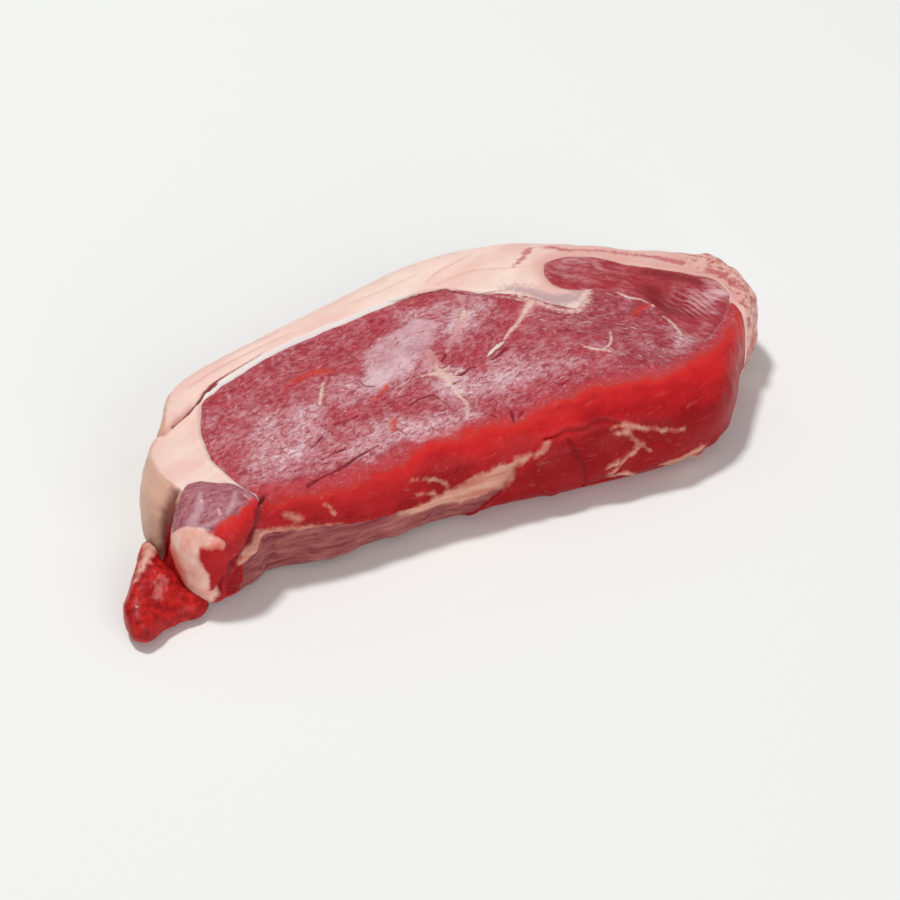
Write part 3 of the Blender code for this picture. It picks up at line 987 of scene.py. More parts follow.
    def tail(self) -> None:
        """The dent behind the tail, painted dark as shade, the cleft beside it and its column of fat.
        """
        skin = self.skin
        # The field of this dent is painted dark red-brown as painted shade.
        skin.mark("pocket_shade", (
            Trace(((-85.5, -29.5), (-88.5, -32.5)), (0.7, 2.0)),
            Trace(((-88, -32.5, 26), (-91, -35, 22), (-93, -35, 17), (-95, -36, 11)),
                  (2.0, 2.8, 2.8, 1.6)),
        ), lift=-3.4, soft=1.5)
        skin.swell((-76, -46, 22), 8.0, 1.2)
        skin.swell((-83, -50, 12), 6.0, 1.0)
        skin.swell((-74, -48, 8), 7.0, -1.6)
        skin.mark("crack_and_shadow", (
            Trace(((-64.5, -40, 27.5), (-66, -43, 25), (-67, -44, 21), (-71, -46, 18),
                   (-75, -48, 15), (-79, -50, 11), (-81, -51, 7)),
                  (0.7, 1.1, 1.1, 0.9, 0.8, 0.9, 0.6)),
        ), lift=-2.6, soft=1.9)
        skin.swell((-77.5, -49, 12.5), 3.5, 2.0)
        skin.swell((-74.5, -48.5, 7.5), 4.0, 2.2)
        skin.swell((-80, -50.5, 5), 3.5, 1.8)
        skin.swell((-69, -46, 15.5), 3.6, 1.8)
        skin.mark("column", (
            Trace(((-90.5, -38, 21.5), (-87, -42, 21.8), (-83, -45.5, 22), (-79, -48.5, 21.5)),
                  (2.4, 2.9, 2.4, 1.2)),
            Trace(((-87, -43.5, 20), (-87.3, -45, 16.5), (-86.5, -47, 12.5), (-87, -48.8, 7),
                   (-86, -50, 4)), (5.2, 4.9, 4.3, 3.7, 3.2)),
            Trace(((-87, -49, 5), (-82, -51, 6.5)), (2.6, 1.2)),
        ), lift=0.25, soft=0.8)
        skin.mark("blush", (
            Trace(((-90.5, -42, 17), (-90, -44.5, 13), (-90, -46, 8)), (1.5, 1.9, 1.2)),
            Trace(((-80, -48, 21), (-83, -48, 18.5)), (1.7, 1.5)),
        ))
        skin.mark("streak", (
            Trace(((-71, -37), (-73, -41), (-75, -43)), (0.5, 0.9, 0.6)),
            Trace(((-84, -43), (-81, -44), (-78, -44)), (0.3, 0.7, 0.4)),
            Trace(((-80, -34), (-82, -39), (-85, -42)), (0.5, 1.3, 1.6)),
        ), lift=0.25, soft=1.4)
        skin.swell((-78, -37), 7.0, 0.8)

    def seam_grooves(self) -> None:
        """A fine groove where two layers meet, and the lip of fat beside the eye."""
        skin = self.skin
        x, y, _ = skin.rest.T
        faces = np.maximum(skin.top, 0.7)
        calm = 1.0 - step(-2.5, 0.0, np.maximum(skin.fields["grey"], skin.fields["rim"]))
        for name, depth in (("eye_seam", 0.5), ("cap_seam", 0.12), ("lean_seam", 0.35),
                            ("tail_seam", 0.25)):
            distance = skin.fields[name]
            skin.lift(-depth * np.exp(-(distance / 0.6) ** 2) * faces * calm)
        lip = bump((skin.fields["eye_seam"] - 1.6) / 1.9) * step(-50.0, -66.0, x)
        skin.lift(0.6 * lip * skin.top)
        rear = bump((skin.fields["eye_seam"] + 1.2) / 2.4) * step(-6.0, 6.0, x) * step(10.0, 20.0, y)
        skin.lift(-0.5 * rear * skin.top)


def add(tree: bpy.types.NodeTree, kind: str, links: dict, out: int | str = 0,
        **settings: object) -> bpy.types.NodeSocket:
    """Add one node to a material.

    Args:
        tree: The material's node tree.
        kind: The node's type without its ShaderNode prefix.
        links: What goes into each input: a socket that feeds it, or its value.
        out: The output to hand on.
        **settings: The node's own settings.

    Returns:
        The chosen output.
    """
    node = tree.nodes.new("ShaderNode" + kind)
    for name, value in settings.items():
        setattr(node, name, value)
    for key, value in links.items():
        if isinstance(value, bpy.types.NodeSocket):
            tree.links.new(value, node.inputs[key])
        else:
            node.inputs[key].default_value = value
    return node.outputs[out]


@dataclass(frozen=True)
class Finish:
    """What every finish of the steak has: a moist body that light sinks into."""

    name: str
    roughness: float = 0.4
    gloss: float = 0.17  # specular level
    wet: float = 0.06  # weight of the film of juice on top
    wet_roughness: float = 0.12
    depth: float = 0.3  # weight of the light that sinks in
    reach: tuple[float, float, float] = (1.4, 0.35, 0.25)  # millimetres for red, green, blue
    sheen_hairs: float = 0.5  # weight of the pale hairs of painted highlight in the painted sheen
    fields: tuple[str, ...] = ()

    def material(self) -> bpy.types.Material:
        """Make the material: a Principled shader fed by the finish's own pattern."""
        made = bpy.data.materials.new(self.name)
        made.use_nodes = True
        tree = made.node_tree
        tree.nodes.clear()
        colour, roughness, height, depth = self.pattern(tree)
        links = {
            "Base Color": colour, "Roughness": roughness, "IOR": 1.4,
            "Specular IOR Level": self.gloss, "Coat Weight": self.wet,
            "Coat Roughness": self.wet_roughness, "Coat IOR": 1.36,
            "Subsurface Weight": self.depth, "Subsurface Radius": self.reach,
            "Subsurface Scale": MM,
        }
        if height is not None:
            links["Normal"] = add(tree, "Bump", {"Strength": 1.0, "Distance": depth * MM,
                                                 "Height": height})
        shader = add(tree, "BsdfPrincipled", links)
        add_output = tree.nodes.new("ShaderNodeOutputMaterial")
        tree.links.new(shader, add_output.inputs["Surface"])
        return made

    def pattern(self, tree: bpy.types.NodeTree) -> tuple:
        """Colour, roughness, height and the depth of the height in millimetres."""
        raise NotImplementedError

    def grain(self, tree: bpy.types.NodeTree, degrees: float, stretch: float
              ) -> bpy.types.NodeSocket:
        """Coordinates in millimetres, turned along the fibres and stretched there."""
        place = add(tree, "TexCoord", {}, out="Object")
        return add(tree, "Mapping", {
            "Vector": place, "Rotation": (0.0, 0.0, math.radians(degrees)),
            "Scale": (stretch * MM, MM, MM)}, vector_type="TEXTURE")

    def painted(self, tree: bpy.types.NodeTree, name: str, ragged: bpy.types.NodeSocket,
                amount: float, low: float = -0.15, high: float = 0.2) -> bpy.types.NodeSocket:
        """Mask of a painted field with a ragged border.

        Args:
            tree: The material's node tree.
            name: The field.
            ragged: Noise from 0 to 1.
            amount: How far the noise moves the border, in millimetres.
            low: Value of the field where the mask starts.
            high: Value where it is full.

        Returns:
            The mask.
        """
        value = add(tree, "Attribute", {}, out="Fac", attribute_name=name)
        shift = add(tree, "MapRange", {"Value": ragged, "To Min": -amount, "To Max": amount})
        moved = add(tree, "Math", {0: value, 1: shift})
        return add(tree, "MapRange", {"Value": moved, "From Min": low, "From Max": high},
                   interpolation_type="SMOOTHSTEP")

    def with_painted_sheen(self, tree: bpy.types.NodeTree, deep: object, painted_sheen: object,
                pattern: bpy.types.NodeSocket, less: bpy.types.NodeSocket | None = None,
                calm: bpy.types.NodeSocket | None = None) -> bpy.types.NodeSocket:
        """Painted sheen: light caught by wet fibre ends, painted pale over deep red as densely as the
        frost field says.

        Args:
            tree: The material's node tree.
            deep: Colour below.
            painted_sheen: Colour of the painted sheen on the fibre ends.
            pattern: Noise from 0 to 1 that the fibre ends follow.
            less: Mask where the painted sheen gives way.
            calm: Mask where it is even.

        Returns:
            The colour.
        """
        level = add(tree, "Attribute", {}, out="Fac", attribute_name="painted_sheen")
        if less is not None:
            level = add(tree, "Math", {0: level, 1: less}, operation="SUBTRACT")
        spread = add(tree, "MapRange", {"Value": pattern, "From Min": 0.3, "From Max": 0.7,
                                        "To Min": -1.0, "To Max": 1.0})
        vivid = add(tree, "MapRange", {"Value": level, "From Max": 0.5, "To Min": 0.2,
                                       "To Max": 0.62})
        spread = add(tree, "Math", {0: spread, 1: vivid}, operation="MULTIPLY")
        if calm is not None:
            held = add(tree, "MapRange", {"Value": calm, "To Min": 1.0, "To Max": 0.3})
            spread = add(tree, "Math", {0: spread, 1: held}, operation="MULTIPLY")
        amount = add(tree, "Math", {0: level, 1: spread}, use_clamp=True)
        kept = add(tree, "MapRange", {"Value": level, "To Min": 0.0, "To Max": 0.4})
        amount = add(tree, "Math", {0: amount, 1: kept}, operation="MAXIMUM")
        # Thin pale hairs of painted highlight, added to the painted sheen.
        sheen_hairs = add(tree, "TexNoise", {"Vector": self.grain(tree, 20.0, 1.6), "Scale": 0.3,
                                      "Detail": 3.0, "Distortion": 1.6})
        sheen_hairs = add(tree, "Math", {0: add(tree, "Math", {0: sheen_hairs, 1: 0.5}, operation="SUBTRACT")},
                   operation="ABSOLUTE")
        sheen_hairs = add(tree, "MapRange", {"Value": sheen_hairs, "From Min": 0.0, "From Max": 0.018,
                                      "To Min": self.sheen_hairs, "To Max": 0.0})
        broken = add(tree, "MapRange", {"Value": pattern, "From Min": 0.42, "From Max": 0.6})
        sheen_hairs = add(tree, "Math", {0: sheen_hairs, 1: broken}, operation="MULTIPLY")
        if less is not None:
            less = add(tree, "Math", {0: 1.0, 1: less}, operation="SUBTRACT")
            sheen_hairs = add(tree, "Math", {0: sheen_hairs, 1: less}, operation="MULTIPLY")
        amount = add(tree, "Math", {0: amount, 1: sheen_hairs}, operation="MAXIMUM")
        return self.over(tree, deep, painted_sheen, amount)

    def flank(self, tree: bpy.types.NodeTree, face: bpy.types.NodeSocket,
              ragged: bpy.types.NodeSocket, speck: bpy.types.NodeSocket, edge: str = "side"
              ) -> tuple[bpy.types.NodeSocket, bpy.types.NodeSocket]:
        """The steak's front wall: wet red lean, its silver skin, fat streaks and creases, with painted
        shade towards its foot and a painted bright band under the shoulder.

        Args:
            tree: The material's node tree.
            face: Colour of the cut face.
            ragged: Noise of about a millimetre.
            speck: Finer noise.
            edge: The field that says how far past the shoulder a point is.

        Returns:
            The colour, and a mask of what is wet and smooth.
        """
        side = add(tree, "Attribute", {}, out="Fac", attribute_name=edge)
        cloud = add(tree, "TexNoise", {"Vector": self.grain(tree, 10.0, 1.8), "Scale": 0.13,
                                       "Detail": 5.0, "Roughness": 0.6})
        shift = add(tree, "MapRange", {"Value": cloud, "From Min": 0.3, "From Max": 0.7,
                                       "To Min": -6.0, "To Max": 6.0})
        # Painted shade: the wall's red darkens from the shoulder towards the foot.
        low = add(tree, "MapRange", {"Value": add(tree, "Math", {0: side, 1: shift}),
                                     "From Min": 3.0, "From Max": 17.0})
        red = self.over(tree, srgb("#cb2428"), srgb("#981017"), low)
        # Painted light: a brighter, more orange red band just under the shoulder.
        hot = add(tree, "MapRange", {"Value": side, "From Min": 4.0, "From Max": 0.5,
                                     "To Max": 0.7})
        red = self.over(tree, red, srgb("#d83a30"), hot)
        pale = add(tree, "MapRange", {"Value": ragged, "From Min": 0.58, "From Max": 0.8,
                                      "To Max": 0.16})
        red = self.over(tree, red, srgb("#d98078"), pale)
        streaks = add(tree, "TexNoise", {"Vector": self.grain(tree, 28.0, 5.0), "Scale": 0.5,
                                         "Detail": 4.0, "Roughness": 0.6, "Distortion": 0.8})
        streaks = add(tree, "MapRange", {"Value": streaks, "From Min": 0.6, "From Max": 0.78,
                                         "To Max": 0.34})
        red = self.over(tree, red, srgb("#e08a80"), streaks)
        both = add(tree, "Mix", {0: 0.45, 2: speck, 3: cloud}, out=0)
        wet = self.painted(tree, edge, both, 4.2, -0.3, 1.9)
        colour = self.over(tree, face, red, wet)

        silver = self.painted(tree, "silver", ragged, 0.4, -0.1, 0.6)
        drawn = add(tree, "TexNoise", {"Vector": self.grain(tree, 4.0, 7.0), "Scale": 0.5,
                                       "Detail": 5.0, "Roughness": 0.6})
        membrane = self.over(tree, srgb("#83383f"), srgb("#b5716a"), add(
            tree, "MapRange", {"Value": drawn, "From Min": 0.36, "From Max": 0.7}))
        colour = self.over(tree, colour, membrane, silver)
        lumps = add(tree, "TexNoise", {"Vector": self.grain(tree, 0.0, 1.0), "Scale": 0.42,
                                       "Detail": 6.0, "Roughness": 0.62})
        pad = self.painted(tree, "pad", lumps, 2.0, -0.9, 1.0)
        pad = add(tree, "Math", {0: pad, 1: 0.85}, operation="MULTIPLY")
        colour = self.over(tree, colour, self.over(
            tree, srgb("#cf8470"), srgb("#dfac98"), add(
                tree, "MapRange", {"Value": drawn, "From Min": 0.38, "From Max": 0.6})), pad)
        # Dark red of the cracks, and of the chip's painted shadow.
        crack_and_shadow = self.painted(tree, "crack_and_shadow", speck, 0.2, -0.3, 0.3)
        colour = self.over(tree, colour, srgb("#86222c"), add(
            tree, "Math", {0: crack_and_shadow, 1: 0.92}, operation="MULTIPLY"))
        return colour, add(tree, "Math", {0: wet, 1: silver}, operation="MAXIMUM")

    def over(self, tree: bpy.types.NodeTree, below: object, above: object, mask: object
             ) -> bpy.types.NodeSocket:
        """One colour laid over another where a mask is 1."""
        return add(tree, "Mix", {0: mask, 6: below, 7: above}, out=2, data_type="RGBA")


@dataclass(frozen=True)
class MoistLean(Finish):
    """Raw eye muscle, cut across the grain: a speckled cut face with painted sheen, and a wet side.

    The knife opens the fibre bundles, and a thousand wet fibre ends on the cut face catch
    the light as a pale mauve sheen, which is painted into its colour. The side was sealed in
    its own juice and shows deep red.
    """

    name: str = "moist_lean"
    roughness: float = 0.42
    gloss: float = 0.12
    wet: float = 0.03
    fields: tuple[str, ...] = ("side", "vein", "sheath", "hot", "painted_sheen", "crack_and_shadow", "silver",
                               "pad", "turn", "bulge", "rim", "crease_shade")
    deep: str = "#ad3743"
    rose: str = "#be4a55"
    gap: str = "#86202c"
    # pale lilac of the painted sheen
    painted_sheen: str = "#e9cad0"
    cream: str = "#edcbbd"
    pink: str = "#d99c9c"
    orange: str = "#d3402f"
    # dark red of the painted shade in the wall's creases
    fold: str = "#7d1015"

    def pattern(self, tree: bpy.types.NodeTree) -> tuple:
        """Colour, roughness, height and its depth."""
        left, right = self.grain(tree, 27.0, 1.7), self.grain(tree, -42.0, 1.7)
        turn = add(tree, "Attribute", {}, out="Fac", attribute_name="turn")
        even = self.grain(tree, 0.0, 1.0)
        mottle = add(tree, "TexNoise", {"Vector": even, "Scale": 0.16, "Detail": 4.0,
                                        "Roughness": 0.6})
        noises = [add(tree, "TexNoise", {"Vector": grain, "Scale": 0.75, "Detail": 6.0,
                                         "Roughness": 0.66, "Distortion": 0.8})
                  for grain in (left, right)]
        fibre = add(tree, "Mix", {0: turn, 2: noises[0], 3: noises[1]}, out=0)
        ragged = add(tree, "TexNoise", {"Vector": even, "Scale": 0.9, "Detail": 4.0,
                                        "Roughness": 0.65})
        speck = add(tree, "TexNoise", {"Vector": even, "Scale": 1.9, "Detail": 4.0,
                                       "Roughness": 0.7})
        red = self.over(tree, srgb(self.deep), srgb(self.rose),
                        add(tree, "MapRange", {"Value": mottle, "From Min": 0.38,
                                               "From Max": 0.62}))
        red = self.over(tree, red, srgb("#9f3340"), add(tree, "Math", {0: turn, 1: 0.6},
                                                        operation="MULTIPLY"))
        gap = add(tree, "MapRange", {"Value": fibre, "From Min": 0.46, "From Max": 0.34,
                                     "To Max": 0.8})
        red = self.over(tree, red, srgb(self.gap), gap)
        side = add(tree, "Attribute", {}, out="Fac", attribute_name="side")
        near = add(tree, "MapRange", {"Value": side, "From Min": -4.0, "From Max": 0.5})
        red = self.over(tree, red, srgb("#c8484d"), near)
        bulge = self.painted(tree, "bulge", ragged, 1.0, -2.5, 1.5)
        # Painted sheen over the red of the cut face, less of it near the shoulder and even on the
        # bulge.
        face = self.with_painted_sheen(tree, red, srgb(self.painted_sheen), fibre, add(
            tree, "Math", {0: near, 1: 0.25}, operation="MULTIPLY"), bulge)
        wrinkle = add(tree, "TexNoise", {"Vector": self.grain(tree, 12.0, 2.4), "Scale": 0.34,
                                         "Detail": 3.0, "Roughness": 0.55, "Distortion": 1.2})
        wrinkle = add(tree, "Math", {0: add(tree, "Math", {0: wrinkle, 1: 0.5},
                                            operation="SUBTRACT")}, operation="ABSOLUTE")
        wrinkle = add(tree, "MapRange", {"Value": wrinkle, "From Min": 0.0, "From Max": 0.02,
                                         "To Min": 1.0, "To Max": 0.0})
        broken = add(tree, "MapRange", {"Value": mottle, "From Min": 0.42, "From Max": 0.58})
        wrinkle = add(tree, "Math", {0: wrinkle, 1: broken}, operation="MULTIPLY")
        face = self.over(tree, face, srgb(self.gap), add(
            tree, "Math", {0: wrinkle, 1: 0.5}, operation="MULTIPLY"))
        colour, smooth = self.flank(tree, face, ragged, speck)

        sheath = self.painted(tree, "sheath", fibre, 2.0, -0.9, 0.9)
        colour = self.over(tree, colour, srgb(self.pink), add(
            tree, "Math", {0: sheath, 1: 0.75}, operation="MULTIPLY"))
        hot = self.painted(tree, "hot", ragged, 0.9, -0.9, 0.9)
        colour = self.over(tree, colour, srgb(self.orange), add(
            tree, "Math", {0: hot, 1: 0.7}, operation="MULTIPLY"))
        vein = self.painted(tree, "vein", ragged, 0.8, -0.5, 0.3)
        rim = self.painted(tree, "rim", ragged, 3.0, -0.9, 1.3)
        vein = add(tree, "Math", {0: vein, 1: rim}, operation="MAXIMUM")
        colour = self.over(tree, colour, self.over(tree, srgb(self.pink), srgb(self.cream), add(
            tree, "MapRange", {"Value": speck, "From Min": 0.36, "From Max": 0.5})), add(
                tree, "Math", {0: vein, 1: 0.92}, operation="MULTIPLY"))
        # Painted shade in the creases of the front wall.
        fold = self.painted(tree, "crease_shade", speck, 0.3, -0.7, 0.5)
        colour = self.over(tree, colour, srgb(self.fold), add(
            tree, "Math", {0: fold, 1: 0.6}, operation="MULTIPLY"))

        rough = add(tree, "MapRange", {"Value": fibre, "From Min": 0.3, "From Max": 0.7,
                                       "To Min": self.roughness - 0.1,
                                       "To Max": self.roughness + 0.12})
        rough = add(tree, "Mix", {0: smooth, 2: rough, 3: 0.33}, out=0)
        grain = add(tree, "Math", {0: wrinkle, 1: -0.25, 2: fibre}, operation="MULTIPLY_ADD")
        height = add(tree, "Mix", {0: smooth, 2: grain, 3: add(
            tree, "Math", {0: ragged, 1: 0.35}, operation="MULTIPLY")}, out=0)
        return colour, rough, height, 0.45


@dataclass(frozen=True)
class CapLean(Finish):
    """Raw cap muscle: coarse, long fibres, darker and browner than the eye."""

    name: str = "cap_lean"
    fields: tuple[str, ...] = ("ribs", "brown_and_shade", "painted_sheen", "side", "cap_seam")
    sheen_hairs: float = 0.15
    dark: str = "#9f3038"
    mid: str = "#b1444c"
    # pale of the painted sheen on the cap
    painted_sheen: str = "#dcaeb2"
    # darker brown: partly the cap's own tone, partly painted shade in its hollow
    brown_and_shade: str = "#7c2128"
    pink: str = "#d28a85"

    def pattern(self, tree: bpy.types.NodeTree) -> tuple:
        """Colour, roughness, height and its depth."""
        along = self.grain(tree, -42.0, 2.6)
        even = self.grain(tree, 0.0, 1.0)
        fibre = add(tree, "TexNoise", {"Vector": along, "Scale": 0.55, "Detail": 6.0,
                                       "Roughness": 0.62, "Distortion": 0.6})
        ragged = add(tree, "TexNoise", {"Vector": even, "Scale": 0.8, "Detail": 4.0})
        colour = self.over(tree, srgb(self.dark), srgb(self.mid), add(
            tree, "MapRange", {"Value": fibre, "From Min": 0.38, "From Max": 0.66}))
        # Darker brown in the hollow, partly painted shade.
        brown_and_shade = self.painted(tree, "brown_and_shade", ragged, 1.5, -2.5, 1.8)
        colour = self.over(tree, colour, srgb(self.brown_and_shade), add(
            tree, "Math", {0: brown_and_shade, 1: 0.7}, operation="MULTIPLY"))
        ribs = add(tree, "Attribute", {}, out="Fac", attribute_name="ribs")
        rows = add(tree, "TexWave", {"Vector": self.grain(tree, -78.0, 3.0), "Scale": 0.1676,
                                     "Distortion": 2.2, "Detail": 2.0, "Detail Scale": 0.6},
                   bands_direction="Y")
        rows = add(tree, "MapRange", {"Value": rows, "From Min": 0.4, "From Max": 0.9,
                                      "To Max": 0.7})
        less = add(tree, "MapRange", {"Value": brown_and_shade, "To Min": 0.1, "To Max": 0.5})
        # Painted sheen over the cap, less of it where the darker brown is painted.
        colour = self.with_painted_sheen(tree, colour, srgb(self.painted_sheen), fibre, less)
        # Pale rows on the ribs, in the colour of the painted sheen.
        colour = self.over(tree, colour, srgb(self.painted_sheen), add(
            tree, "Math", {0: rows, 1: ribs}, operation="MULTIPLY"))
        rim = self.painted(tree, "cap_seam", ragged, 0.8, -0.9, 0.5)
        colour = self.over(tree, colour, srgb(self.pink), add(
            tree, "Math", {0: rim, 1: 0.6}, operation="MULTIPLY"))
        return colour, add(tree, "MapRange", {"Value": fibre, "To Min": 0.34,
                                              "To Max": 0.55}), fibre, 0.25


@dataclass(frozen=True)
class WaxyFat(Finish):
    """Hard back fat: smooth and waxy, cream to pink, with a dull sheen."""

    name: str = "waxy_fat"
    roughness: float = 0.45
    gloss: float = 0.2
    depth: float = 0.45
    reach: tuple[float, float, float] = (2.2, 1.1, 0.8)
    fields: tuple[str, ...] = ("fold", "blood", "rind", "grey", "rim", "film", "pocket_shade", "left_wall_shade",
                               "cap_seam", "ruddy", "hollow", "flank", "silver", "pad", "crack_and_shadow")
    cream: str = "#f7dccf"
    pink: str = "#f0c7bc"
    flush: str = "#dc9a92"
    red: str = "#c35f68"
    slate: str = "#bb9a9e"
    white: str = "#efe4e0"
    # tan of the painted shade on the outer left wall
    shade_tan: str = "#cfa28b"
    straw: str = "#a9483d"
    # brown of the painted shade low on the walls
    shade_umber: str = "#a0604f"
    # dark red-brown of the painted shade in the pocket
    dark: str = "#74231a"

    def pattern(self, tree: bpy.types.NodeTree) -> tuple:
        """Colour, roughness, height and its depth."""
        even = self.grain(tree, 0.0, 1.0)
        broad = add(tree, "TexNoise", {"Vector": self.grain(tree, 25.0, 2.5), "Scale": 0.09,
                                       "Detail": 4.0})
        ragged = add(tree, "TexNoise", {"Vector": even, "Scale": 0.7, "Detail": 4.0})
        fine = add(tree, "TexNoise", {"Vector": self.grain(tree, 25.0, 2.0), "Scale": 1.2,
                                      "Detail": 4.0})
        colour = self.over(tree, srgb(self.cream), srgb(self.pink), add(
            tree, "MapRange", {"Value": broad, "From Min": 0.38, "From Max": 0.6}))
        seam = add(tree, "Attribute", {}, out="Fac", attribute_name="cap_seam")
        seam = add(tree, "MapRange", {"Value": seam, "From Min": 4.5, "From Max": 0.2,
                                      "To Max": 0.6})
        colour = self.over(tree, colour, srgb(self.flush), seam)
        ruddy = add(tree, "Attribute", {}, out="Fac", attribute_name="ruddy")
        colour = self.over(tree, colour, srgb(self.flush), add(
            tree, "Math", {0: ruddy, 1: 0.55}, operation="MULTIPLY"))
        rind = add(tree, "Attribute", {}, out="Fac", attribute_name="rind")
        # Painted shade on the outer left wall of the fat.
        left_wall_shade = self.painted(tree, "left_wall_shade", ragged, 0.5, -0.6, 0.8)
        colour = self.over(tree, colour, srgb(self.shade_tan), add(
            tree, "Math", {0: left_wall_shade, 1: 0.85}, operation="MULTIPLY"))
        spots = add(tree, "TexNoise", {"Vector": even, "Scale": 0.42, "Detail": 6.0,
                                       "Roughness": 0.65})
        pits = add(tree, "MapRange", {"Value": spots, "From Min": 0.47, "From Max": 0.6})
        pits = add(tree, "Math", {0: pits, 1: rind}, operation="MULTIPLY")
        colour = self.over(tree, colour, srgb(self.straw), add(
            tree, "Math", {0: pits, 1: 0.8}, operation="MULTIPLY"))
        # Painted shade low on the walls.
        hollow = self.painted(tree, "hollow", ragged, 0.5, 0.0, 1.0)
        colour = self.over(tree, colour, srgb(self.shade_umber), add(
            tree, "Math", {0: hollow, 1: 0.6}, operation="MULTIPLY"))
        blood = self.painted(tree, "blood", ragged, 1.9, -0.9, 1.0)
        colour = self.over(tree, colour, srgb(self.red), add(
            tree, "Math", {0: blood, 1: 0.8}, operation="MULTIPLY"))
        grey = self.painted(tree, "grey", ragged, 2.6, -1.6, 1.8)
        colour = self.over(tree, colour, srgb(self.slate), add(
            tree, "Math", {0: grey, 1: 0.8}, operation="MULTIPLY"))
        rim = self.painted(tree, "rim", ragged, 3.0, -1.1, 1.5)
        colour = self.over(tree, colour, srgb("#e9c0b6"), add(
            tree, "Math", {0: rim, 1: 0.85}, operation="MULTIPLY"))
        film = self.painted(tree, "film", fine, 0.3, -0.2, 0.4)
        colour = self.over(tree, colour, srgb(self.white), film)
        fold = self.painted(tree, "fold", fine, 0.15, -0.4, 0.6)
        colour = self.over(tree, colour, srgb(self.flush), add(
            tree, "Math", {0: fold, 1: 0.5}, operation="MULTIPLY"))
        # Painted shade in the pocket behind the tail.
        pocket_shade = self.painted(tree, "pocket_shade", ragged, 0.6, -1.2, 1.6)
        colour = self.over(tree, colour, srgb(self.dark), add(
            tree, "Math", {0: pocket_shade, 1: 0.85}, operation="MULTIPLY"))
        colour, _ = self.flank(tree, colour, ragged, fine, "flank")
        return colour, add(tree, "MapRange", {"Value": fine, "To Min": 0.36,
                                              "To Max": 0.55}), fine, 0.12


@dataclass(frozen=True)
class TailLean(Finish):
    """Lean of the tail: mauve and filmy on the cut face, bright wet red on the wall."""

    name: str = "tail_lean"
    roughness: float = 0.36
    wet: float = 0.1
    fields: tuple[str, ...] = ("side", "streak", "crack_and_shadow", "silver", "pad")
    mauve: str = "#94454e"
    dusk: str = "#b97a84"
    pale: str = "#cfa5ad"

    def pattern(self, tree: bpy.types.NodeTree) -> tuple:
        """Colour, roughness, height and its depth."""
        even = self.grain(tree, 0.0, 1.0)
        ragged = add(tree, "TexNoise", {"Vector": even, "Scale": 0.7, "Detail": 4.0})
        fibre = add(tree, "TexNoise", {"Vector": self.grain(tree, 20.0, 2.0), "Scale": 0.8,
                                       "Detail": 6.0, "Roughness": 0.65})
        colour = self.over(tree, srgb(self.mauve), srgb(self.dusk), add(
            tree, "MapRange", {"Value": fibre, "From Min": 0.36, "From Max": 0.62}))
        streak = self.painted(tree, "streak", ragged, 0.8, -0.9, 0.9)
        colour = self.over(tree, colour, srgb(self.pale), add(
            tree, "Math", {0: streak, 1: 0.65}, operation="MULTIPLY"))
        colour, _ = self.flank(tree, colour, ragged, fibre)
        rough = add(tree, "MapRange", {"Value": fibre, "To Min": 0.28, "To Max": 0.5})
        return colour, rough, fibre, 0.22


@dataclass(frozen=True)
class TailFat(Finish):
    """Soft fat of the tail: salmon pink with an orange blush and a lobe of lean on it."""

    name: str = "tail_fat"
    roughness: float = 0.4
    depth: float = 0.45
    reach: tuple[float, float, float] = (2.2, 0.9, 0.6)
    fields: tuple[str, ...] = ("column", "blush", "pocket_shade", "side", "silver", "pad", "crack_and_shadow")
    salmon: str = "#e0a190"
    cream: str = "#efc8bc"
    orange: str = "#d8553f"
    # dark red-brown of the painted shade in the pocket
    dark: str = "#74231a"

    def pattern(self, tree: bpy.types.NodeTree) -> tuple:
        """Colour, roughness, height and its depth."""
        even = self.grain(tree, 0.0, 1.0)
        ragged = add(tree, "TexNoise", {"Vector": even, "Scale": 0.6, "Detail": 4.0})
        fine = add(tree, "TexNoise", {"Vector": even, "Scale": 1.4, "Detail": 4.0})
        red, _ = self.flank(tree, add(tree, "RGB", {}), ragged, fine)
        red = self.over(tree, srgb("#b51c20"), red, 0.5)
        broad = add(tree, "TexNoise", {"Vector": even, "Scale": 0.16, "Detail": 2.0})
        fat = self.over(tree, srgb(self.salmon), srgb(self.cream), add(
            tree, "MapRange", {"Value": broad, "From Min": 0.36, "From Max": 0.58}))
        blush = self.painted(tree, "blush", ragged, 1.6, -2.2, 2.0)
        fat = self.over(tree, fat, srgb(self.orange), add(
            tree, "Math", {0: blush, 1: 0.8}, operation="MULTIPLY"))
        column = self.painted(tree, "column", ragged, 0.7, -0.5, 0.7)
        colour = self.over(tree, red, fat, column)
        # Painted shade in the pocket behind the tail.
        pocket_shade = self.painted(tree, "pocket_shade", ragged, 0.4, -0.8, 1.4)
        colour = self.over(tree, colour, srgb(self.dark), add(
            tree, "Math", {0: pocket_shade, 1: 0.9}, operation="MULTIPLY"))
        return colour, add(tree, "MapRange", {"Value": fine, "To Min": 0.3,
                                              "To Max": 0.48}), fine, 0.12


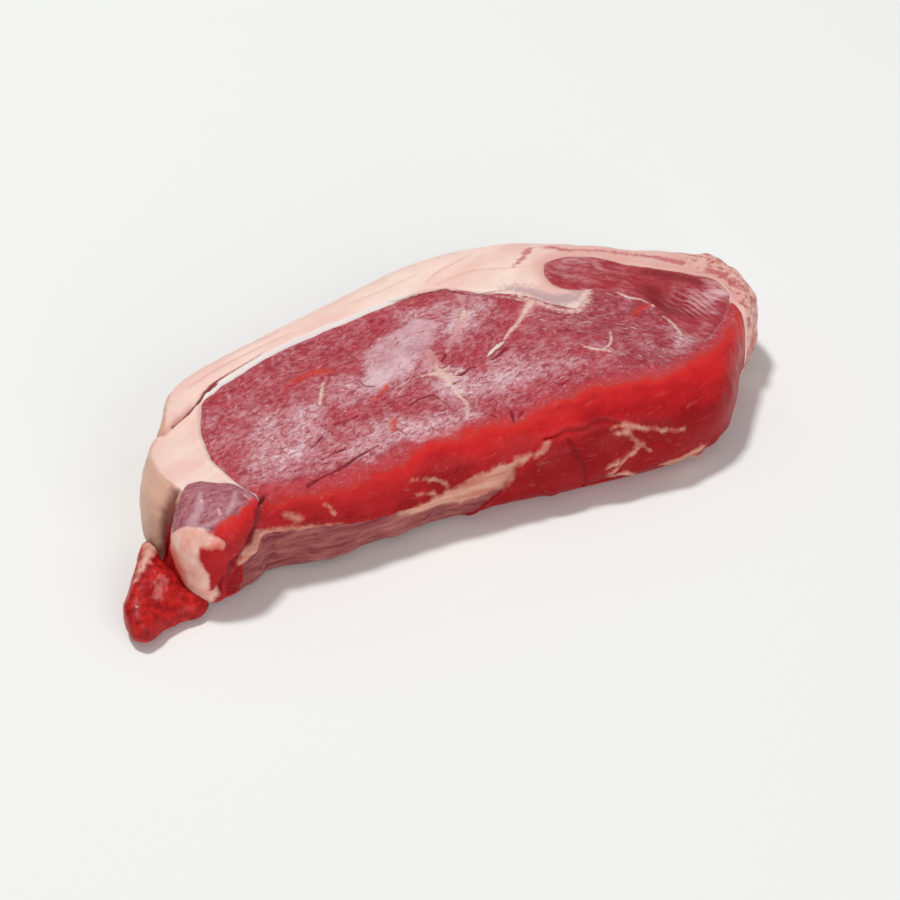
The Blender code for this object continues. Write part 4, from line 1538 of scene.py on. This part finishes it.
@dataclass(frozen=True)
class TongueLean(Finish):
    """The tongue's deep red, very wet lean, with a strip of fat along its back."""

    name: str = "tongue_lean"
    wet: float = 0.15
    fields: tuple[str, ...] = ("strip", "glint")
    red: str = "#c2231f"
    dark: str = "#92151a"
    fat: str = "#dca592"
    pale: str = "#dd9a94"

    def pattern(self, tree: bpy.types.NodeTree) -> tuple:
        """Colour, roughness, height and its depth."""
        even = self.grain(tree, 0.0, 1.0)
        ragged = add(tree, "TexNoise", {"Vector": even, "Scale": 0.5, "Detail": 4.0})
        fine = add(tree, "TexNoise", {"Vector": self.grain(tree, 60.0, 2.0), "Scale": 0.9,
                                      "Detail": 4.0})
        colour = self.over(tree, srgb(self.dark), srgb(self.red), add(
            tree, "MapRange", {"Value": ragged, "From Min": 0.38, "From Max": 0.62}))
        strip = self.painted(tree, "strip", ragged, 1.6, -0.9, 1.0)
        colour = self.over(tree, colour, srgb(self.fat), strip)
        glint = self.painted(tree, "glint", fine, 4.0, -1.0, 2.0)
        colour = self.over(tree, colour, srgb(self.pale), add(
            tree, "Math", {0: glint, 1: 0.4}, operation="MULTIPLY"))
        return colour, add(tree, "MapRange", {"Value": fine, "To Min": 0.28,
                                              "To Max": 0.45}), fine, 0.18


@dataclass(frozen=True)
class Sinew(Finish):
    """Loose sinew: whitish and smooth, and light shows through its thin ends."""

    name: str = "sinew"
    roughness: float = 0.38
    depth: float = 0.4
    reach: tuple[float, float, float] = (0.8, 0.5, 0.4)
    white: str = "#eedcd8"
    cream: str = "#e9c6ba"

    def pattern(self, tree: bpy.types.NodeTree) -> tuple:
        """Colour, roughness, height and its depth."""
        even = self.grain(tree, 0.0, 1.0)
        noise = add(tree, "TexNoise", {"Vector": even, "Scale": 0.6, "Detail": 3.0})
        colour = self.over(tree, srgb(self.white), srgb(self.cream), noise)
        return colour, add(tree, "MapRange", {"Value": noise, "To Min": 0.3,
                                              "To Max": 0.5}), noise, 0.1


@dataclass
class Tongue:
    """The tongue of lean at the tail's end."""

    voxel: float = 0.7
    smoothing: int = 14

    def build(self) -> bpy.types.Object:
        """Smooth the solid's facets away and carve the tongue's own relief."""
        mesh = solid(Layer.TONGUE)
        data = bpy.data.meshes.new("tongue")
        mesh.to_mesh(data)
        mesh.free()
        obj = linked("tongue", data)
        wrap = obj.modifiers.new("wrap", "REMESH")
        wrap.mode = "VOXEL"
        wrap.voxel_size = self.voxel * MM
        even = obj.modifiers.new("even", "SMOOTH")
        even.factor = 0.5
        even.iterations = self.smoothing
        skin = Skin(applied(obj))
        noise = Noise(71)
        skin.lift(0.45 + 0.5 * noise.layered(turned(skin.rest, 60.0, 1.8), 5.0, 3))
        skin.swell((-103, -49, 6), 7.0, 0.8)
        skin.swell((-92, -44, 9), 9.0, 1.6)
        skin.swell((-88, -50, 4), 6.0, 1.2)
        skin.mark("strip", (
            Trace(((-93, -31, 13), (-97, -37, 12), (-101, -42, 11)), (1.2, 1.1, 0.3)),
        ), lift=0.2)
        skin.mark("glint", (
            Trace(((-95, -43, 10), (-97, -48, 9)), (1.5, 1.8)),
        ))
        skin.finish()
        piece = linked("tongue", skin.data)
        skin.give(piece.data, TongueLean().fields)
        return piece


@dataclass
class Sinews:
    """Torn threads and a curled chip of sinew that stand up from the cut face."""

    skin: Skin
    seams: Seams
    sides: int = 6
    places: list = field(default_factory=list)
    faces: list = field(default_factory=list)

    chip: tuple[Point, ...] = ((21.5, 1.6), (20, 0.4), (18.5, -0.6), (17, -1.2), (15.6, -2.4),
                               (14, -3.4))

    def build(self) -> bpy.types.Object:
        """Lay every thread on the skin and close it at both ends."""
        rng = np.random.default_rng(5)
        self.scatter(rng, 44, (34.0, 86.0), (-22.0, 14.0), (-50.0, 34.0), (1.2, 3.6))
        self.scatter(rng, 20, (70.0, 92.0), (-18.0, 2.0), (-68.0, 12.0), (2.4, 5.5))
        self.scatter(rng, 30, (-62.0, 34.0), (-30.0, 28.0), (32.0, 30.0), (1.0, 2.4))
        self.lay(np.array(self.chip), np.array((0.12, 0.55, 0.72, 0.5, 0.62, 0.15)), 0.7, 10)
        self.lay(np.array(((20, 0.9), (19.5, -0.3), (18, -1.3))), np.array((0.2, 0.42, 0.12)), 1.3, 8)
        data = bpy.data.meshes.new("sinews")
        data.from_pydata([tuple(p * MM) for p in self.places], [], self.faces)
        return linked("sinews", data)

    def scatter(self, rng: np.random.Generator, count: int, across: Point, down: Point,
                angles: Point, lengths: Point) -> None:
        """Scatter threads over part of the cut face.

        Args:
            rng: Source of chance.
            count: How many threads to try; those off the eye are dropped.
            across: Range of x.
            down: Range of y.
            angles: Middle and spread of their direction, in degrees.
            lengths: Range of their lengths.
        """
        spots = np.stack([rng.uniform(*across, count), rng.uniform(*down, count)], axis=1)
        inner = self.seams.distance(Layer.EYE, spots) < -2.5
        inner &= spots[:, 1] > self.shoulder(spots[:, 0]) + 3.0
        for spot, keep in zip(spots, inner):
            angle = math.radians(rng.normal(*angles))
            length, bend = rng.uniform(*lengths), rng.normal(0.0, 0.07)
            size = rng.uniform(0.06, 0.12)
            if not keep:
                continue
            run = np.linspace(-0.5, 0.5, 7)
            along = np.array((math.cos(angle), math.sin(angle)))
            across_it = np.array((-along[1], along[0]))
            line = spot + length * (run[:, None] * along + bend * (4 * run ** 2)[:, None] * across_it)
            self.lay(line, size * np.sqrt(np.maximum(1.0 - (2 * run) ** 2, 0.02)), 0.4, self.sides)

    def shoulder(self, across: np.ndarray) -> np.ndarray:
        """Where the cut face ends at the front, for each x."""
        line = dense_line(np.array(Relief.shoulder, dtype=float), 1.0)
        return np.interp(across, line[::-1, 0], line[::-1, 1])

    def lay(self, line: np.ndarray, radii: np.ndarray, rise: float, sides: int) -> None:
        """Lay one tube along a line on the cut face.

        Args:
            line: Points in plan.
            radii: Radius at each point.
            rise: Height of the tube's middle over the skin, in radii.
            sides: Sides of the tube.
        """
        heights = np.array([self.skin.tree.find(Vector((x, y, 28.5)))[0][2] for x, y in line])
        start = len(self.places)
        for index, (spot, radius) in enumerate(zip(line, radii)):
            nearby = line[min(index + 1, len(line) - 1)] - line[max(index - 1, 0)]
            across = np.array((-nearby[1], nearby[0])) / max(np.linalg.norm(nearby), 1e-6)
            middle = heights[index] + rise * radius
            for side in range(sides):
                angle = math.tau * side / sides
                flat = spot + across * math.cos(angle) * radius
                self.places.append(np.array((*flat, middle + math.sin(angle) * radius * 0.8)))
        for ring in range(len(line) - 1):
            for side in range(sides):
                a, b = start + ring * sides + side, start + ring * sides + (side + 1) % sides
                self.faces.append((a, b, b + sides, a + sides))
        last = start + (len(line) - 1) * sides
        self.faces.append(tuple(range(start + sides - 1, start - 1, -1)))
        self.faces.append(tuple(range(last, last + sides)))


@dataclass
class Studio:
    """A pale floor, soft light and the camera."""

    azimuth: float = -21.0
    elevation: float = 38.0
    distance: float = 600.0
    lens: float = 85.0
    aim: Point = (-5.1, -23.4, 14.0)

    def build(self) -> None:
        """Make all of it."""
        self.floor()
        self.lights()
        self.camera()

    def back(self, azimuth: float, elevation: float) -> Vector:
        """Unit vector from the steak towards a place round it, given in degrees."""
        turn, rise = math.radians(azimuth), math.radians(elevation)
        return Vector((math.sin(turn) * math.cos(rise), -math.cos(turn) * math.cos(rise),
                       math.sin(rise)))

    def camera(self) -> None:
        """The camera looks down on the front wall and the cut face."""
        data = bpy.data.cameras.new("camera")
        data.lens = self.lens
        data.sensor_width = 36.0
        data.clip_start = 0.01
        made = bpy.data.objects.new("camera", data)
        bpy.context.scene.collection.objects.link(made)
        back = self.back(self.azimuth, self.elevation)
        turn = math.radians(self.azimuth)
        right = Vector((math.cos(turn), math.sin(turn), 0.0))
        matrix = Matrix((right, back.cross(right), back)).transposed().to_4x4()
        matrix.translation = (Vector(self.aim) + back * self.distance) * MM
        made.matrix_world = matrix
        bpy.context.scene.camera = made

    def floor(self) -> None:
        """A wide matt floor."""
        mesh = bmesh.new()
        bmesh.ops.create_grid(mesh, x_segments=1, y_segments=1, size=4.0)
        data = bpy.data.meshes.new("floor")
        mesh.to_mesh(data)
        mesh.free()
        floor = linked("floor", data)
        floor.location.z = -0.0002
        material = bpy.data.materials.new("matt_floor")
        material.use_nodes = True
        shader = material.node_tree.nodes["Principled BSDF"]
        shader.inputs["Base Color"].default_value = srgb("#f1f2f0")
        shader.inputs["Roughness"].default_value = 0.9
        shader.inputs["Specular IOR Level"].default_value = 0.1
        data.materials.append(material)

    def lights(self) -> None:
        """A large softbox behind and above, a weaker one in front, and an even sky."""
        self.softbox("key", -146.0, 72.0, 2400.0, 300.0, 34.5)
        self.softbox("fill", 8.0, 22.0, 2600.0, 1800.0, 28.0)
        world = bpy.data.worlds.new("studio")
        world.use_nodes = True
        background = world.node_tree.nodes["Background"]
        background.inputs["Color"].default_value = (1.0, 1.0, 1.0, 1.0)
        background.inputs["Strength"].default_value = 0.31
        bpy.context.scene.world = world
        bpy.context.scene.view_settings.view_transform = "Standard"

    def softbox(self, name: str, azimuth: float, elevation: float, away: float, size: float,
                power: float) -> None:
        """A square area light that faces the steak."""
        data = bpy.data.lights.new(name, "AREA")
        data.energy = power
        data.size = size * MM
        made = bpy.data.objects.new(name, data)
        bpy.context.scene.collection.objects.link(made)
        back = self.back(azimuth, elevation)
        made.location = back * away * MM
        made.rotation_euler = back.to_track_quat("Z", "Y").to_euler()


FINISHES: dict[Layer, tuple[Finish, Slot]] = {
    Layer.EYE: (MoistLean(), Slot.LEAN),
    Layer.CAP: (CapLean(), Slot.CAP_LEAN),
    Layer.FAT: (WaxyFat(), Slot.FAT),
    Layer.TAIL_LEAN: (TailLean(), Slot.TAIL_LEAN),
    Layer.TAIL_FAT: (TailFat(), Slot.TAIL_FAT),
    Layer.TONGUE: (TongueLean(), Slot.TONGUE_LEAN),
}


def settle(piece: bpy.types.Object, name: str, finish: Finish,
           stands_for: tuple[Layer, ...] = ()) -> None:
    """Name a piece, dress it and tie it to the frame."""
    piece.name = name
    piece.data.name = name
    piece.data.materials.clear()
    piece.data.materials.append(finish.material())
    piece.data.shade_smooth()
    piece.data.set_sharp_from_angle(angle=math.radians(60.0))
    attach(piece, "root")
    if stands_for:
        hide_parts(*(layer.value for layer in stands_for))
    log.info("%s: %d faces", name, len(piece.data.polygons))


def main() -> None:
    """Build the steak, layer by layer, and the studio round it."""
    logging.basicConfig(level=logging.INFO, format="%(message)s")
    skin = Slice().skin()
    seams = Seams()
    seams.trace()
    Relief(skin, seams).carve()
    for layer, piece in Carving(skin, seams).pieces().items():
        finish, slot = FINISHES[layer]
        skin.give(piece.data, finish.fields)
        settle(piece, f"{layer.value}_flesh", finish, (layer,))
    finish, slot = FINISHES[Layer.TONGUE]
    settle(Tongue().build(), "tail_tongue_flesh", finish, (Layer.TONGUE,))
    settle(Sinews(skin, seams).build(), "sinew_threads", Sinew())
    Studio().build()


if __name__ == "__main__":
    main()
